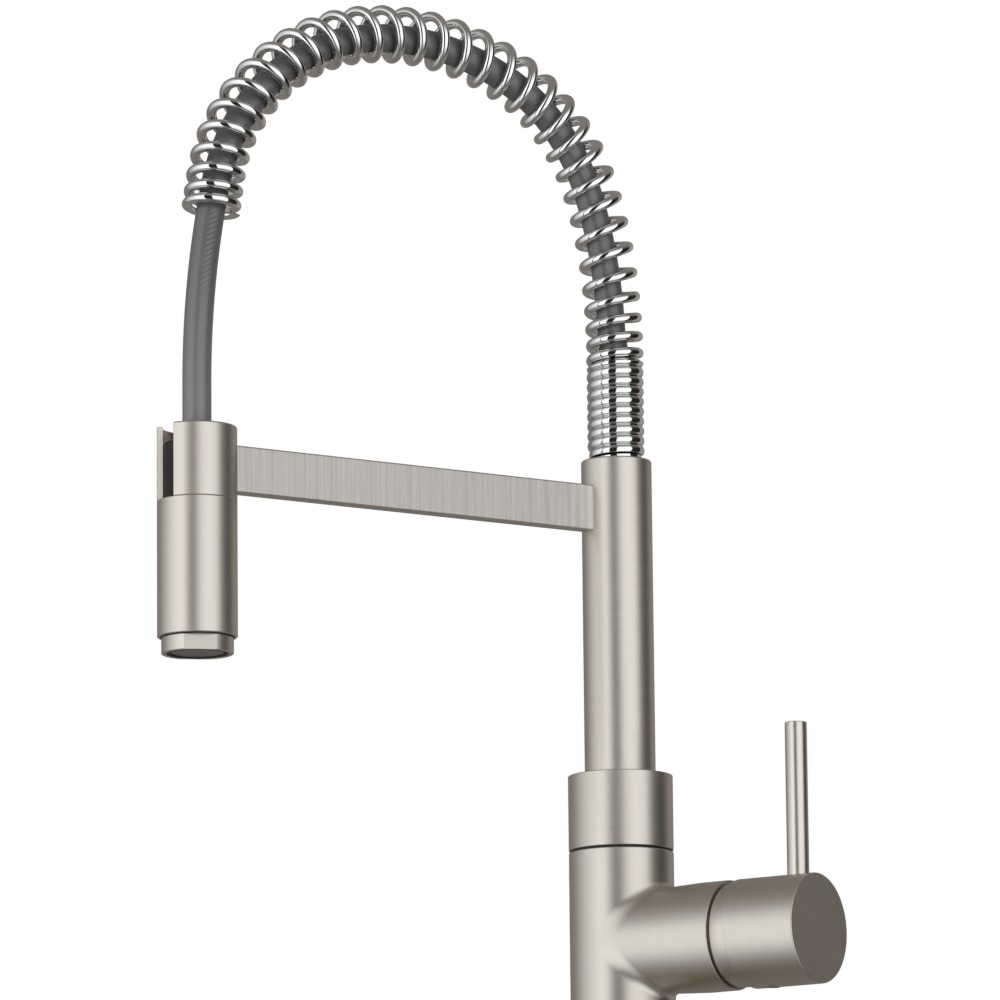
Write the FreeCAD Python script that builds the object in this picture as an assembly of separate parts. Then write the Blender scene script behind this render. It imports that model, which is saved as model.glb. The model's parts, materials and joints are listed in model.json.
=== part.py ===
import FreeCAD, Part
import math
import os

from FreeCAD import Vector

# A semi-pro kitchen mixer tap, in millimetres. The origin is the centre of the
# base's underside on the worktop, +Z is up and the spout points along -Y.

# Clearances
RUN = 0.3          # between curved faces of pieces that move on each other
FIT = 0.05         # between pieces that are fixed in each other
SEAM = 1.0         # shadow gap between the outer shells

# Fixing below the worktop
BASE_DIAMETER = 52.0
BASE_HEIGHT = 4.0
BASE_CHAMFER = 0.8
DECK_SEAL_DIAMETER = 42.0      # at the middle of the seal
DECK_SEAL_WIDTH = 3.0
DECK_SEAL_HEIGHT = 1.5
SHANK_DIAMETER = 32.0          # thread, drawn plain
SHANK_BORE = 26.0
SHANK_LENGTH = 75.0
SHANK_SOCKET = 12.0            # length screwed into the mixer body
SPIGOT_DIAMETER = 33.5         # plain neck that centres in a 35 mm hole
SPIGOT_LENGTH = 12.0
WORKTOP = 41.0                 # underside of the worktop below the base
RUBBER_DIAMETER = 48.0
RUBBER_HEIGHT = 3.0
CLAMP_DIAMETER = 50.0
CLAMP_HEIGHT = 2.5
NUT_ACROSS_FLATS = 44.0
NUT_HEIGHT = 10.0
NUT_COLLAR_HEIGHT = 2.0

# Mixer body with its side branch
BODY_DIAMETER = 48.0
BODY_TOP = 94.1
BRANCH_HEIGHT = 52.0
BRANCH_TURN = 24.16            # degrees from +X towards +Y
BRANCH_DIAMETER = 50.0
BRANCH_END = 59.36             # from the column axis
BRANCH_FLARE = 45.0            # length over which the branch widens from its root
BRANCH_ROOT_INSET = 1.0        # the root's radius below the body's radius
JUNCTION_FILLET = 6.0
EDGE_BREAK = 0.5
INLET_SPACING = 13.0
INLET_THREAD_RADIUS = 4.5      # M10 x 1 for the supply hoses
INLET_THREAD_DEPTH = 12.0
WATERWAY_RADIUS = 3.0
INLET_PORT_DROP = 7.0          # inlet ports below the branch axis
OUTLET_PORT_RISE = 8.0         # outlet port above the branch axis

# Ceramic cartridge in the branch, measured from the column axis
CARTRIDGE_START = 34.0
CARTRIDGE_DIAMETER = 35.6
CARTRIDGE_SHOULDER = 52.0
CARTRIDGE_FLOOR = 2.0
CARTRIDGE_WALL = 1.8
CARTRIDGE_NECK_DIAMETER = 27.0
CARTRIDGE_NECK_WALL = 1.8
CARTRIDGE_NECK_LENGTH = 15.0
CARTRIDGE_ROOF = 2.0
DISC_HEIGHT = 3.0
DISC_GAP = 0.05
MOVING_DISC_DIAMETER = 18.0
DISC_CARRIER_HEIGHT = 5.0
STEM_CARRIER_FLANGE = 2.3
STEM_CARRIER_EARS = 4.0        # ears of the carrier past the pivot
STEM_WIDTH = 6.0
STEM_HEIGHT = 7.0
STEM_TAIL_DIAMETER = 4.6
STEM_BALL_DIAMETER = 6.0
STEM_END = 84.0
STEM_SWING = 9.4               # half height of the slot that the stem swings in
PIVOT_FROM_SEAM = 5.0          # tilt axis past the middle of the branch seam
PIVOT_PIN_DIAMETER = 3.0
RETAINER_DIAMETER = 41.8
RETAINER_HEIGHT = 5.0
RETAINER_NOTCH = 4.0
DOME_RADIUS = 23.9             # sphere about the tilt axis
DOME_LENGTH = 13.0             # past the tilt axis
DOME_BORE = 34.5

# Handle
CAP_END = 103.87
CAP_CLEARANCE = 0.4            # over the dome
CAP_RIM_TOP = 5.0              # rim past the middle of the seam, above
CAP_RIM_BOTTOM = 10.0          # and below, where the cap swings inwards
CAP_BOSS_DIAMETER = 18.0
CAP_BOSS_START = 9.0           # past the tilt axis
LEVER_DIAMETER = 10.0
LEVER_FROM_AXIS = 93.42
LEVER_TOP = 94.2               # above the branch axis
LEVER_FOOT = 9.5               # above the branch axis, inside the cap
LEVER_CHAMFER = 0.5
GRUB_DIAMETER = 4.8
GRUB_FROM_END = 4.5            # grub screw from the end of the stem
COVER_DIAMETER = 6.0
COVER_HEIGHT = 2.0

# Swivel
SLIP_RING_INSET = 0.6
OUTLET_DIAMETER = 30.0
OUTLET_BORE = 16.0
OUTLET_NOSE_DIAMETER = 24.0
OUTLET_SOCKET = 14.0           # length screwed into the mixer body
OUTLET_SHOULDER = 13.5         # height of the sealed part above the body
OUTLET_TOP = 23.0              # top of the nose above the body
SEAL_SECTION = 2.0
SEAL_HEIGHTS = (4.4, 9.4)      # above the body
SNAP_HEIGHT = 1.5
SNAP_DIAMETER = 27.6
SNAP_GROOVE = 0.9
SNAP_GAP = 5.0
COLLAR_HEIGHT = 34.55
COLLAR_SHELF = 2.0

# Column, spring guide and hose connector
COLUMN_DIAMETER = 32.5
COLUMN_WALL = 1.75
COLUMN_SHOWN = 146.65          # above the collar
COLUMN_ROUND = 1.0
GUIDE_SOCKET = 12.0            # length inside the column
GUIDE_FOOT = 2.6               # from the column to the middle of the ridge's first turn
GUIDE_LENGTH = 45.8            # above the column
GUIDE_DIAMETER = 24.4
RIDGE_DIAMETER = 2.5           # round section of the helical ridge
RIDGE_HEIGHT = 0.9             # above the sleeve
RIDGE_PITCH = 4.61
RIDGE_PHASE = 237.0            # where the ridge starts, in degrees from +X
GUIDE_NECK_HEIGHT = 6.0
CONNECTOR_DROP = 12.0          # top of the connector below the arm
CONNECTOR_HEIGHT = 12.0
CONNECTOR_TAIL = 10.0
CONNECTOR_TAIL_DIAMETER = 18.0
NIPPLE_LENGTH = 12.0
NIPPLE_BORE = 5.6
CONNECTOR_SEAL_SECTION = 2.0

# Hose and arch: tangent arcs in the plane of the spout
SPOUT_REACH = 225.0
HOSE_DIAMETER = 13.0
HOSE_BORE = 8.0
ARCH_RISE = 4.9                # straight rise above the guide
RISE_RADIUS = 208.6
RISE_TURN = 21.7
SHOULDER_RADIUS = 84.9
SHOULDER_TURN = 41.9
CROWN_TURN = 37.9
FALL_RADIUS = 100.2
FALL_TURN = 66.1
DROP_RADIUS = 430.8

# Support spring
WIRE_DIAMETER = 4.6
SPRING_DIAMETER = 26.6
SPRING_TAIL = 14.7             # length of the spring along the drop
SPRING_PHASE = 20.0            # where the wire starts, in degrees from the arch's inside
# Each pair is a share of the spring's length and the pitch there, in wire diameters
COIL_PITCHES = (
    (0.0, 1.43), (0.12, 2.52), (0.325, 2.41), (0.445, 2.7), (0.847, 2.52), (0.931, 2.07), (1.0, 1.13))
# Shares of the spring's length where the hose leaves the coil's middle, where it
# first rests on the coil's inside and where it leaves that again
SAG_START = 0.04
SAG_FULL = 0.25
SAG_RELEASE = 0.88

# Docking arm
ARM_DROP = 34.0                # bottom of the arm below the column's top
ARM_HEIGHT = 21.2
ARM_THICKNESS = 8.0
ARM_EDGE = 0.6
SCREW_DIAMETER = 5.0
SCREW_SPACING = 11.0
SCREW_REACH = 12.0             # length in the arm
SCREW_HEAD_DIAMETER = 8.4
SCREW_HEAD_HEIGHT = 3.0
SUNK_HEAD_HEIGHT = 2.0
DOCK_ABOVE_ARM = 6.8
DOCK_BELOW_ARM = 5.4
DOCK_WALL = 2.6
DOCK_SLOT = 13.8

# Spray head
SPRAY_DIAMETER = 35.8
SPRAY_LENGTH = 61.3
SPRAY_WALL = 2.3
SPRAY_ROOF = 5.0
SPRAY_CHAMFER = 1.5
NECK_LENGTH = 25.9             # inside the dock
NECK_THREAD_DIAMETER = 25.9
NECK_THREAD_LENGTH = 15.0
HOSE_DEPTH = 16.8              # length of the hose in the neck
TAILPIECE_FLANGE = 3.0
TAILPIECE_FLANGE_DIAMETER = 16.0
TAILPIECE_DIAMETER = 14.0
TAILPIECE_LENGTH = 13.0
VALVE_LENGTH = 8.0
WATERWAY_WALL = 3.0
AERATOR_DIAMETER = 32.2
AERATOR_LENGTH = 7.4           # shown below the spray head's shell
AERATOR_WALL = 1.7
AERATOR_THREAD_LENGTH = 8.0
AERATOR_CHAMFER = 1.1
AERATOR_FLATS = 28.8
AERATOR_FLAT_HEIGHT = 5.6
AERATOR_TURN = -26.0           # degrees from +X to the middle of a flat
AERATOR_SEAL_WIDTH = 2.2
AERATOR_SEAL_RECESS = 0.9
AERATOR_SEAL_HEIGHT = 2.4
AERATOR_FACE_RECESS = 1.8
AERATOR_INSERT_HEIGHT = 9.0

# Places that follow from the sizes above
UP = Vector(0, 0, 1)
OUT = Vector(1, 0, 0)
SIDE = Vector(0, 1, 0)
ORIGIN = Vector(0, 0, 0)
BODY_R = BODY_DIAMETER / 2
BRANCH_R = BRANCH_DIAMETER / 2
BRANCH_SEAM = BRANCH_END + SEAM / 2
PIVOT = BRANCH_SEAM + PIVOT_FROM_SEAM
NECK_END = CARTRIDGE_SHOULDER + CARTRIDGE_NECK_LENGTH
CHAMBER_R = CARTRIDGE_DIAMETER / 2 - CARTRIDGE_WALL
NECK_BORE_R = CARTRIDGE_NECK_DIAMETER / 2 - CARTRIDGE_NECK_WALL
FIXED_DISC_START = CARTRIDGE_START + CARTRIDGE_FLOOR
MOVING_DISC_START = FIXED_DISC_START + DISC_HEIGHT + DISC_GAP
CARRIER_START = MOVING_DISC_START + DISC_HEIGHT
STEM_CARRIER_START = CARTRIDGE_SHOULDER - CARTRIDGE_ROOF - RUN - STEM_CARRIER_FLANGE
STEM_BALL = CARRIER_START + STEM_BALL_DIAMETER / 2 + RUN
RETAINER_END = CARTRIDGE_SHOULDER + RETAINER_HEIGHT
GRUB_PLACE = STEM_END - GRUB_FROM_END
COLLAR_BOTTOM = BODY_TOP + SEAM
COLLAR_TOP = COLLAR_BOTTOM + COLLAR_HEIGHT
COLLAR_BORE_R = OUTLET_DIAMETER / 2 + RUN
SHELF_BOTTOM = BODY_TOP + OUTLET_SHOULDER + RUN
COLUMN_BOTTOM = SHELF_BOTTOM + COLLAR_SHELF
COLUMN_TOP = COLLAR_TOP + COLUMN_SHOWN
COLUMN_R = COLUMN_DIAMETER / 2
COLUMN_BORE_R = COLUMN_R - COLUMN_WALL
GUIDE_BOTTOM = COLUMN_TOP - GUIDE_SOCKET
GUIDE_TOP = COLUMN_TOP + GUIDE_LENGTH
ARCH_START = GUIDE_TOP + ARCH_RISE
ARM_BOTTOM = COLUMN_TOP - ARM_DROP
HOSE_START = ARM_BOTTOM - CONNECTOR_DROP
HOSE_R = HOSE_DIAMETER / 2
WIRE_R = WIRE_DIAMETER / 2
COIL_R = (SPRING_DIAMETER - WIRE_DIAMETER) / 2
ARM_MIDDLE = ARM_BOTTOM + ARM_HEIGHT / 2
DOCK_TOP = ARM_BOTTOM + ARM_HEIGHT + DOCK_ABOVE_ARM
DOCK_BOTTOM = ARM_BOTTOM - DOCK_BELOW_ARM
SPRAY_BOTTOM = DOCK_BOTTOM - SPRAY_LENGTH
NECK_TOP = DOCK_BOTTOM + NECK_LENGTH
HOSE_END = NECK_TOP - HOSE_DEPTH
AERATOR_BOTTOM = SPRAY_BOTTOM - AERATOR_LENGTH
DOCK_R = SPRAY_DIAMETER / 2
DOCK_BORE_R = DOCK_R - DOCK_WALL
NECK_R = DOCK_BORE_R - RUN
TAILPIECE_FOOT = HOSE_END - TAILPIECE_FLANGE - TAILPIECE_LENGTH
NECK_BOTTOM = DOCK_BOTTOM - NECK_THREAD_LENGTH
AERATOR_R = AERATOR_DIAMETER / 2
AERATOR_BORE_R = AERATOR_R - AERATOR_WALL
SPRAY_BORE_R = DOCK_R - SPRAY_WALL


def tube(outer, inner, bottom, top):
    """An upright tube between two heights."""
    wall = Part.makeCylinder(outer, top - bottom, Vector(0, 0, bottom), UP)
    bore = Part.makeCylinder(inner, top - bottom, Vector(0, 0, bottom), UP)
    return wall.cut(bore)


def turned(profile):
    """A solid turned about the Z axis from (radius, height) corners."""
    corners = [Vector(radius, 0, height) for radius, height in profile]
    outline = Part.makePolygon(corners + corners[:1])
    return Part.Face(outline).revolve(ORIGIN, UP, 360)


def seal(middle_radius, section, height):
    """A rubber O-ring lying flat at a height."""
    return Part.makeTorus(middle_radius, section / 2, Vector(0, 0, height), UP)


def rod(radius, start, end):
    """A round bar between two points."""
    return Part.makeCylinder(radius, (end - start).Length, start, end - start)


def branch_rod(radius, start, end, side=0.0, rise=0.0):
    """A round bar along the branch, in the branch's own frame."""
    return rod(radius, Vector(start, side, rise), Vector(end, side, rise))


def branch_tube(outer, inner, start, end):
    return branch_rod(outer, start, end).cut(branch_rod(inner, start, end))


def block(low, high):
    """A box between two opposite corners."""
    size = high - low
    return Part.makeBox(size.x, size.y, size.z, low)


def on_branch(shape):
    """Turn a piece from the branch's own frame (X outwards, Z up) into place."""
    placed = shape.copy()
    placed.rotate(ORIGIN, UP, BRANCH_TURN)
    placed.translate(Vector(0, 0, BRANCH_HEIGHT))
    return placed


def at_spray(shape):
    """Move a piece from the column axis to the spray head's axis."""
    placed = shape.copy()
    placed.translate(Vector(0, -SPOUT_REACH, 0))
    return placed


# Fixing below the worktop

def base_ring():
    outer = BASE_DIAMETER / 2
    inner = SHANK_DIAMETER / 2 + FIT
    ring = turned([
        (inner, 0), (outer, 0), (outer, BASE_HEIGHT - BASE_CHAMFER),
        (outer - BASE_CHAMFER, BASE_HEIGHT), (inner, BASE_HEIGHT)])
    return ring.cut(deck_seal())


def deck_seal():
    middle = DECK_SEAL_DIAMETER / 2
    half = DECK_SEAL_WIDTH / 2
    return tube(middle + half, middle - half, 0, DECK_SEAL_HEIGHT)


def mounting_shank():
    thread = SHANK_DIAMETER / 2
    neck = SPIGOT_DIAMETER / 2
    bore = SHANK_BORE / 2
    return turned([
        (bore, -SHANK_LENGTH), (thread - EDGE_BREAK, -SHANK_LENGTH),
        (thread, EDGE_BREAK - SHANK_LENGTH), (thread, -SPIGOT_LENGTH),
        (neck, -SPIGOT_LENGTH), (neck, 0), (thread, 0),
        (thread, BASE_HEIGHT + SHANK_SOCKET), (bore, BASE_HEIGHT + SHANK_SOCKET)])


def rubber_washer():
    bore = SPIGOT_DIAMETER / 2 + RUN
    return tube(RUBBER_DIAMETER / 2, bore, -WORKTOP - RUBBER_HEIGHT, -WORKTOP)


def clamp_washer():
    bore = SPIGOT_DIAMETER / 2 + RUN
    top = -WORKTOP - RUBBER_HEIGHT
    return tube(CLAMP_DIAMETER / 2, bore, top - CLAMP_HEIGHT, top)


def fixing_nut():
    top = -WORKTOP - RUBBER_HEIGHT - CLAMP_HEIGHT
    bottom = top - NUT_HEIGHT
    corner = NUT_ACROSS_FLATS / 2 / math.cos(math.pi / 6)
    corners = []
    for step in range(6):
        turn = math.pi / 3 * step
        corners.append(Vector(corner * math.cos(turn), corner * math.sin(turn), bottom))
    outline = Part.makePolygon(corners + corners[:1])
    hexagon = Part.Face(outline).extrude(UP * (NUT_HEIGHT - NUT_COLLAR_HEIGHT))
    flats = NUT_ACROSS_FLATS / 2
    collar = Part.makeCylinder(flats, NUT_COLLAR_HEIGHT, Vector(0, 0, top - NUT_COLLAR_HEIGHT), UP)
    bore = rod(SHANK_DIAMETER / 2 + FIT, Vector(0, 0, bottom), Vector(0, 0, top))
    return hexagon.fuse(collar).removeSplitter().cut(bore)


# Mixer body

def body_shell():
    """The upright body and the flared branch, blended where they meet."""
    upright = turned([
        (0, BASE_HEIGHT), (BODY_R, BASE_HEIGHT), (BODY_R, BODY_TOP - EDGE_BREAK),
        (BODY_R - EDGE_BREAK, BODY_TOP), (0, BODY_TOP)])
    root = BODY_R - BRANCH_ROOT_INSET
    flare = Part.makeCone(root, BRANCH_R, BRANCH_FLARE, ORIGIN, OUT)
    edge_start = BRANCH_END - EDGE_BREAK
    straight = branch_rod(BRANCH_R, BRANCH_FLARE, edge_start)
    edge = Part.makeCone(BRANCH_R, BRANCH_R - EDGE_BREAK, EDGE_BREAK, OUT * edge_start, OUT)
    branch = flare.fuse([straight, edge]).removeSplitter()
    joined = upright.fuse(on_branch(branch)).removeSplitter()
    junction = [edge for edge in joined.Edges if edge.Curve.TypeId == "Part::GeomBSplineCurve"]
    return joined.makeFillet(JUNCTION_FILLET, junction)


def mixer_body():
    floor = BASE_HEIGHT + SHANK_SOCKET
    ports = BRANCH_HEIGHT - INLET_PORT_DROP
    body = body_shell()
    body = body.cut(rod(SHANK_DIAMETER / 2 + FIT, UP * BASE_HEIGHT, UP * floor))
    body = body.cut(rod(OUTLET_NOSE_DIAMETER / 2 + FIT, UP * (BODY_TOP - OUTLET_SOCKET), UP * BODY_TOP))
    body = body.cut(rod(OUTLET_BORE / 2, UP * BRANCH_HEIGHT, UP * BODY_TOP))
    drillings = [
        branch_rod(CARTRIDGE_DIAMETER / 2 + FIT, CARTRIDGE_START, BRANCH_END),
        branch_rod(RETAINER_DIAMETER / 2 + FIT, CARTRIDGE_SHOULDER, BRANCH_END),
        branch_rod(WATERWAY_RADIUS, 0, CARTRIDGE_START, 0, OUTLET_PORT_RISE)]
    for side in (-INLET_SPACING / 2, INLET_SPACING / 2):
        foot = Vector(0, side, floor - BRANCH_HEIGHT)
        drillings.append(rod(INLET_THREAD_RADIUS, foot, foot + UP * INLET_THREAD_DEPTH))
        drillings.append(rod(WATERWAY_RADIUS, foot, foot + UP * (ports - floor)))
        drillings.append(branch_rod(WATERWAY_RADIUS, 0, CARTRIDGE_START, side, -INLET_PORT_DROP))
    for drilling in drillings:
        body = body.cut(on_branch(drilling))
    return body


# Cartridge, in the branch's own frame

def ports_between(start, end):
    """The two inlet ports and the outlet port through a plate."""
    half = INLET_SPACING / 2
    inlets = [branch_rod(WATERWAY_RADIUS, start, end, side, -INLET_PORT_DROP) for side in (-half, half)]
    return inlets + [branch_rod(WATERWAY_RADIUS, start, end, 0, OUTLET_PORT_RISE)]


def cartridge_body():
    roof = CARTRIDGE_SHOULDER - CARTRIDGE_ROOF
    case = branch_rod(CARTRIDGE_DIAMETER / 2, CARTRIDGE_START, CARTRIDGE_SHOULDER)
    case = case.fuse(branch_rod(CARTRIDGE_NECK_DIAMETER / 2, CARTRIDGE_SHOULDER, NECK_END))
    case = case.cut(branch_rod(CHAMBER_R, FIXED_DISC_START, roof))
    case = case.cut(branch_rod(NECK_BORE_R, roof, NECK_END))
    return case.cut(ports_between(CARTRIDGE_START, FIXED_DISC_START))


def fixed_disc():
    end = FIXED_DISC_START + DISC_HEIGHT
    disc = branch_rod(CHAMBER_R - FIT, FIXED_DISC_START, end)
    return disc.cut(ports_between(FIXED_DISC_START, end))


def moving_disc():
    radius = MOVING_DISC_DIAMETER / 2
    disc = branch_rod(radius, MOVING_DISC_START, CARRIER_START)
    chamber_end = MOVING_DISC_START + DISC_HEIGHT / 2
    return disc.cut(branch_rod(radius - WATERWAY_RADIUS, MOVING_DISC_START, chamber_end))


def disc_carrier():
    socket = STEM_BALL_DIAMETER / 2 + RUN + FIT
    end = CARRIER_START + DISC_CARRIER_HEIGHT
    return branch_tube(MOVING_DISC_DIAMETER / 2, socket, CARRIER_START, end)


def stem_carrier():
    end = PIVOT + STEM_CARRIER_EARS
    turret = branch_rod(NECK_BORE_R - RUN, STEM_CARRIER_START, end)
    flange = branch_rod(CHAMBER_R - RUN, STEM_CARRIER_START, STEM_CARRIER_START + STEM_CARRIER_FLANGE)
    half = STEM_WIDTH / 2 + RUN
    slot = block(Vector(STEM_CARRIER_START, -half, -STEM_SWING), Vector(end, half, STEM_SWING))
    hole = rod(PIVOT_PIN_DIAMETER / 2 + FIT, Vector(PIVOT, -BRANCH_R, 0), Vector(PIVOT, BRANCH_R, 0))
    return turret.fuse(flange).removeSplitter().cut(slot).cut(hole)


def pivot_pin():
    reach = NECK_BORE_R - RUN - EDGE_BREAK
    return rod(PIVOT_PIN_DIAMETER / 2, Vector(PIVOT, -reach, 0), Vector(PIVOT, reach, 0))


def cartridge_stem():
    shank_start = PIVOT - STEM_HEIGHT
    half_width = STEM_WIDTH / 2
    half_height = STEM_HEIGHT / 2
    foot = Vector(shank_start, -half_width, -half_height)
    shank = block(foot, Vector(STEM_END, half_width, half_height))
    tail = branch_rod(STEM_TAIL_DIAMETER / 2, STEM_BALL, shank_start)
    ball = Part.makeSphere(STEM_BALL_DIAMETER / 2, Vector(STEM_BALL, 0, 0))
    hole = rod(PIVOT_PIN_DIAMETER / 2 + FIT, Vector(PIVOT, -half_width, 0), Vector(PIVOT, half_width, 0))
    return shank.fuse([tail, ball]).cut(hole)


def cartridge_nut():
    bore = CARTRIDGE_NECK_DIAMETER / 2 + RUN
    nut = branch_tube(RETAINER_DIAMETER / 2, bore, CARTRIDGE_SHOULDER, RETAINER_END)
    half = RETAINER_NOTCH / 2
    depth = Vector(RETAINER_END - RETAINER_NOTCH / 2, -half, CARTRIDGE_NECK_DIAMETER / 2)
    for quarter in range(4):
        notch = block(depth, Vector(RETAINER_END, half, RETAINER_DIAMETER / 2))
        notch.rotate(ORIGIN, OUT, 90 * quarter)
        nut = nut.cut(notch)
    return nut


def cartridge_dome():
    """The trim ring: a zone of a sphere about the tilt axis, on a skirt in the branch."""
    zone_start = BRANCH_END + SEAM
    zone_end = PIVOT + DOME_LENGTH
    ball = Part.makeSphere(DOME_RADIUS, OUT * PIVOT)
    zone = ball.common(branch_rod(DOME_RADIUS, zone_start, zone_end))
    skirt = branch_rod(RETAINER_DIAMETER / 2, RETAINER_END, zone_start)
    bore = branch_rod(DOME_BORE / 2, RETAINER_END, zone_end)
    return zone.fuse(skirt).removeSplitter().cut(bore)


# Handle, in the branch's own frame

def handle_cap():
    low = OUT * (BRANCH_SEAM + CAP_RIM_BOTTOM) - UP * BRANCH_R
    high = OUT * (BRANCH_SEAM + CAP_RIM_TOP) + UP * BRANCH_R
    hollow_end = CAP_END - LEVER_DIAMETER
    shell = branch_rod(BRANCH_R, BRANCH_END, CAP_END - EDGE_BREAK)
    shell = shell.fuse(
        Part.makeCone(BRANCH_R, BRANCH_R - EDGE_BREAK, EDGE_BREAK, OUT * (CAP_END - EDGE_BREAK), OUT))
    hollow = Part.makeSphere(DOME_RADIUS + CAP_CLEARANCE, OUT * PIVOT)
    boss = branch_rod(CAP_BOSS_DIAMETER / 2, PIVOT + CAP_BOSS_START, hollow_end)
    cap = shell.removeSplitter().cut(hollow.cut(boss))
    slant = low - high
    rim = Part.makePolygon([
        high - slant, low + slant, low + slant - OUT * CAP_END, high - slant - OUT * CAP_END, high - slant])
    waste = Part.Face(rim).extrude(SIDE * BRANCH_DIAMETER * 2)
    waste.translate(SIDE * -BRANCH_DIAMETER)
    cap = cap.cut(waste)
    half_width = STEM_WIDTH / 2 + FIT
    half_height = STEM_HEIGHT / 2 + FIT
    socket = block(Vector(PIVOT, -half_width, -half_height), Vector(STEM_END, half_width, half_height))
    lever_hole = rod(LEVER_DIAMETER / 2 + FIT, lever_foot(), lever_foot() + UP * BRANCH_R)
    grub_hole = rod(GRUB_DIAMETER / 2 + FIT, OUT * GRUB_PLACE, OUT * GRUB_PLACE - UP * BRANCH_R)
    cover_hole = rod(COVER_DIAMETER / 2 + FIT, cover_top(), cover_top() - UP * BRANCH_R)
    return cap.cut([socket, lever_hole, grub_hole, cover_hole])


def lever_foot():
    return Vector(LEVER_FROM_AXIS, 0, LEVER_FOOT)


def cover_top():
    return Vector(GRUB_PLACE, 0, COVER_HEIGHT - BRANCH_R)


def lever_rod():
    radius = LEVER_DIAMETER / 2
    bar = turned([
        (0, LEVER_FOOT), (radius, LEVER_FOOT), (radius, LEVER_TOP - LEVER_CHAMFER),
        (radius - LEVER_CHAMFER, LEVER_TOP), (0, LEVER_TOP)])
    bar.translate(OUT * LEVER_FROM_AXIS)
    return bar


def stem_screw():
    tip = Vector(GRUB_PLACE, 0, -STEM_HEIGHT / 2)
    return rod(GRUB_DIAMETER / 2, tip, Vector(GRUB_PLACE, 0, -CAP_BOSS_DIAMETER / 2))


def screw_cover():
    plug = rod(COVER_DIAMETER / 2, cover_top(), cover_top() - UP * COVER_HEIGHT)
    return plug.common(branch_rod(BRANCH_R, BRANCH_END, CAP_END))


# Swivel joint of the spout

def outlet_spigot():
    nose = OUTLET_NOSE_DIAMETER / 2
    sealed = OUTLET_DIAMETER / 2
    bore = OUTLET_BORE / 2
    shoulder = BODY_TOP + OUTLET_SHOULDER
    spigot = turned([
        (bore, BODY_TOP - OUTLET_SOCKET), (nose, BODY_TOP - OUTLET_SOCKET), (nose, BODY_TOP),
        (sealed, BODY_TOP), (sealed, shoulder), (nose, shoulder),
        (nose, BODY_TOP + OUTLET_TOP), (bore, BODY_TOP + OUTLET_TOP)])
    for height in SEAL_HEIGHTS:
        middle = BODY_TOP + height
        half = SEAL_SECTION / 2 + FIT
        groove_floor = seal_middle_radius() - half
        spigot = spigot.cut(tube(sealed + FIT, groove_floor, middle - half, middle + half))
    groove = tube(nose + FIT, nose - SNAP_GROOVE, snap_bottom() - FIT, snap_bottom() + SNAP_HEIGHT + FIT)
    return spigot.cut(groove)


def seal_middle_radius():
    return COLLAR_BORE_R - FIT - SEAL_SECTION / 2


def snap_bottom():
    return COLUMN_BOTTOM + FIT


def spigot_seals():
    middle = seal_middle_radius()
    return Part.makeCompound([seal(middle, SEAL_SECTION, BODY_TOP + height) for height in SEAL_HEIGHTS])


def slip_ring():
    return tube(BODY_R - SLIP_RING_INSET, COLLAR_BORE_R, BODY_TOP, COLLAR_BOTTOM)


def snap_ring():
    inner = OUTLET_NOSE_DIAMETER / 2 - SNAP_GROOVE + FIT
    ring = tube(SNAP_DIAMETER / 2, inner, snap_bottom(), snap_bottom() + SNAP_HEIGHT)
    half = SNAP_GAP / 2
    foot = Vector(0, -half, snap_bottom())
    return ring.cut(block(foot, Vector(SNAP_DIAMETER, half, snap_bottom() + SNAP_HEIGHT)))


def swivel_collar():
    shelf = OUTLET_NOSE_DIAMETER / 2 + RUN
    socket = COLUMN_R + FIT
    return turned([
        (COLLAR_BORE_R, COLLAR_BOTTOM), (BODY_R - EDGE_BREAK, COLLAR_BOTTOM),
        (BODY_R, COLLAR_BOTTOM + EDGE_BREAK), (BODY_R, COLLAR_TOP - EDGE_BREAK),
        (BODY_R - EDGE_BREAK, COLLAR_TOP), (socket, COLLAR_TOP), (socket, COLUMN_BOTTOM),
        (shelf, COLUMN_BOTTOM), (shelf, SHELF_BOTTOM), (COLLAR_BORE_R, SHELF_BOTTOM)])


# Column, spring guide and hose connector

def column():
    pipe = tube(COLUMN_R, COLUMN_BORE_R, COLUMN_BOTTOM, COLUMN_TOP)
    rims = [edge for edge in pipe.Edges if edge.Curve.TypeId == "Part::GeomCircle"
            and edge.Curve.Radius > COLUMN_BORE_R + FIT and edge.Curve.Center.z > COLUMN_TOP - FIT]
    pipe = pipe.makeFillet(COLUMN_ROUND, rims)
    for height in screw_heights():
        pipe = pipe.cut(rod(SCREW_DIAMETER / 2 + FIT, UP * height, Vector(0, -COLUMN_DIAMETER, height)))
    return pipe


def guide_sleeve():
    core = GUIDE_DIAMETER / 2
    bore = HOSE_R + RUN
    socket = COLUMN_BORE_R - FIT
    neck = COIL_R - WIRE_R - RUN
    top = GUIDE_TOP + GUIDE_NECK_HEIGHT
    return turned([
        (bore, GUIDE_BOTTOM), (socket, GUIDE_BOTTOM), (socket, COLUMN_TOP), (core, COLUMN_TOP),
        (core, GUIDE_TOP), (neck, GUIDE_TOP), (neck, top), (bore, top)])


def ridge_place(turns):
    """Point and direction of the ridge's helix after a number of turns."""
    radius = GUIDE_DIAMETER / 2 + RIDGE_HEIGHT - RIDGE_DIAMETER / 2
    angle = math.radians(RIDGE_PHASE + 360 * turns)
    spoke = Vector(math.cos(angle), math.sin(angle), 0)
    along = UP.cross(spoke) * 2 * math.pi * radius + UP * RIDGE_PITCH
    return spoke * radius + UP * (COLUMN_TOP + GUIDE_FOOT + RIDGE_PITCH * turns), along.normalize()


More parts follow.
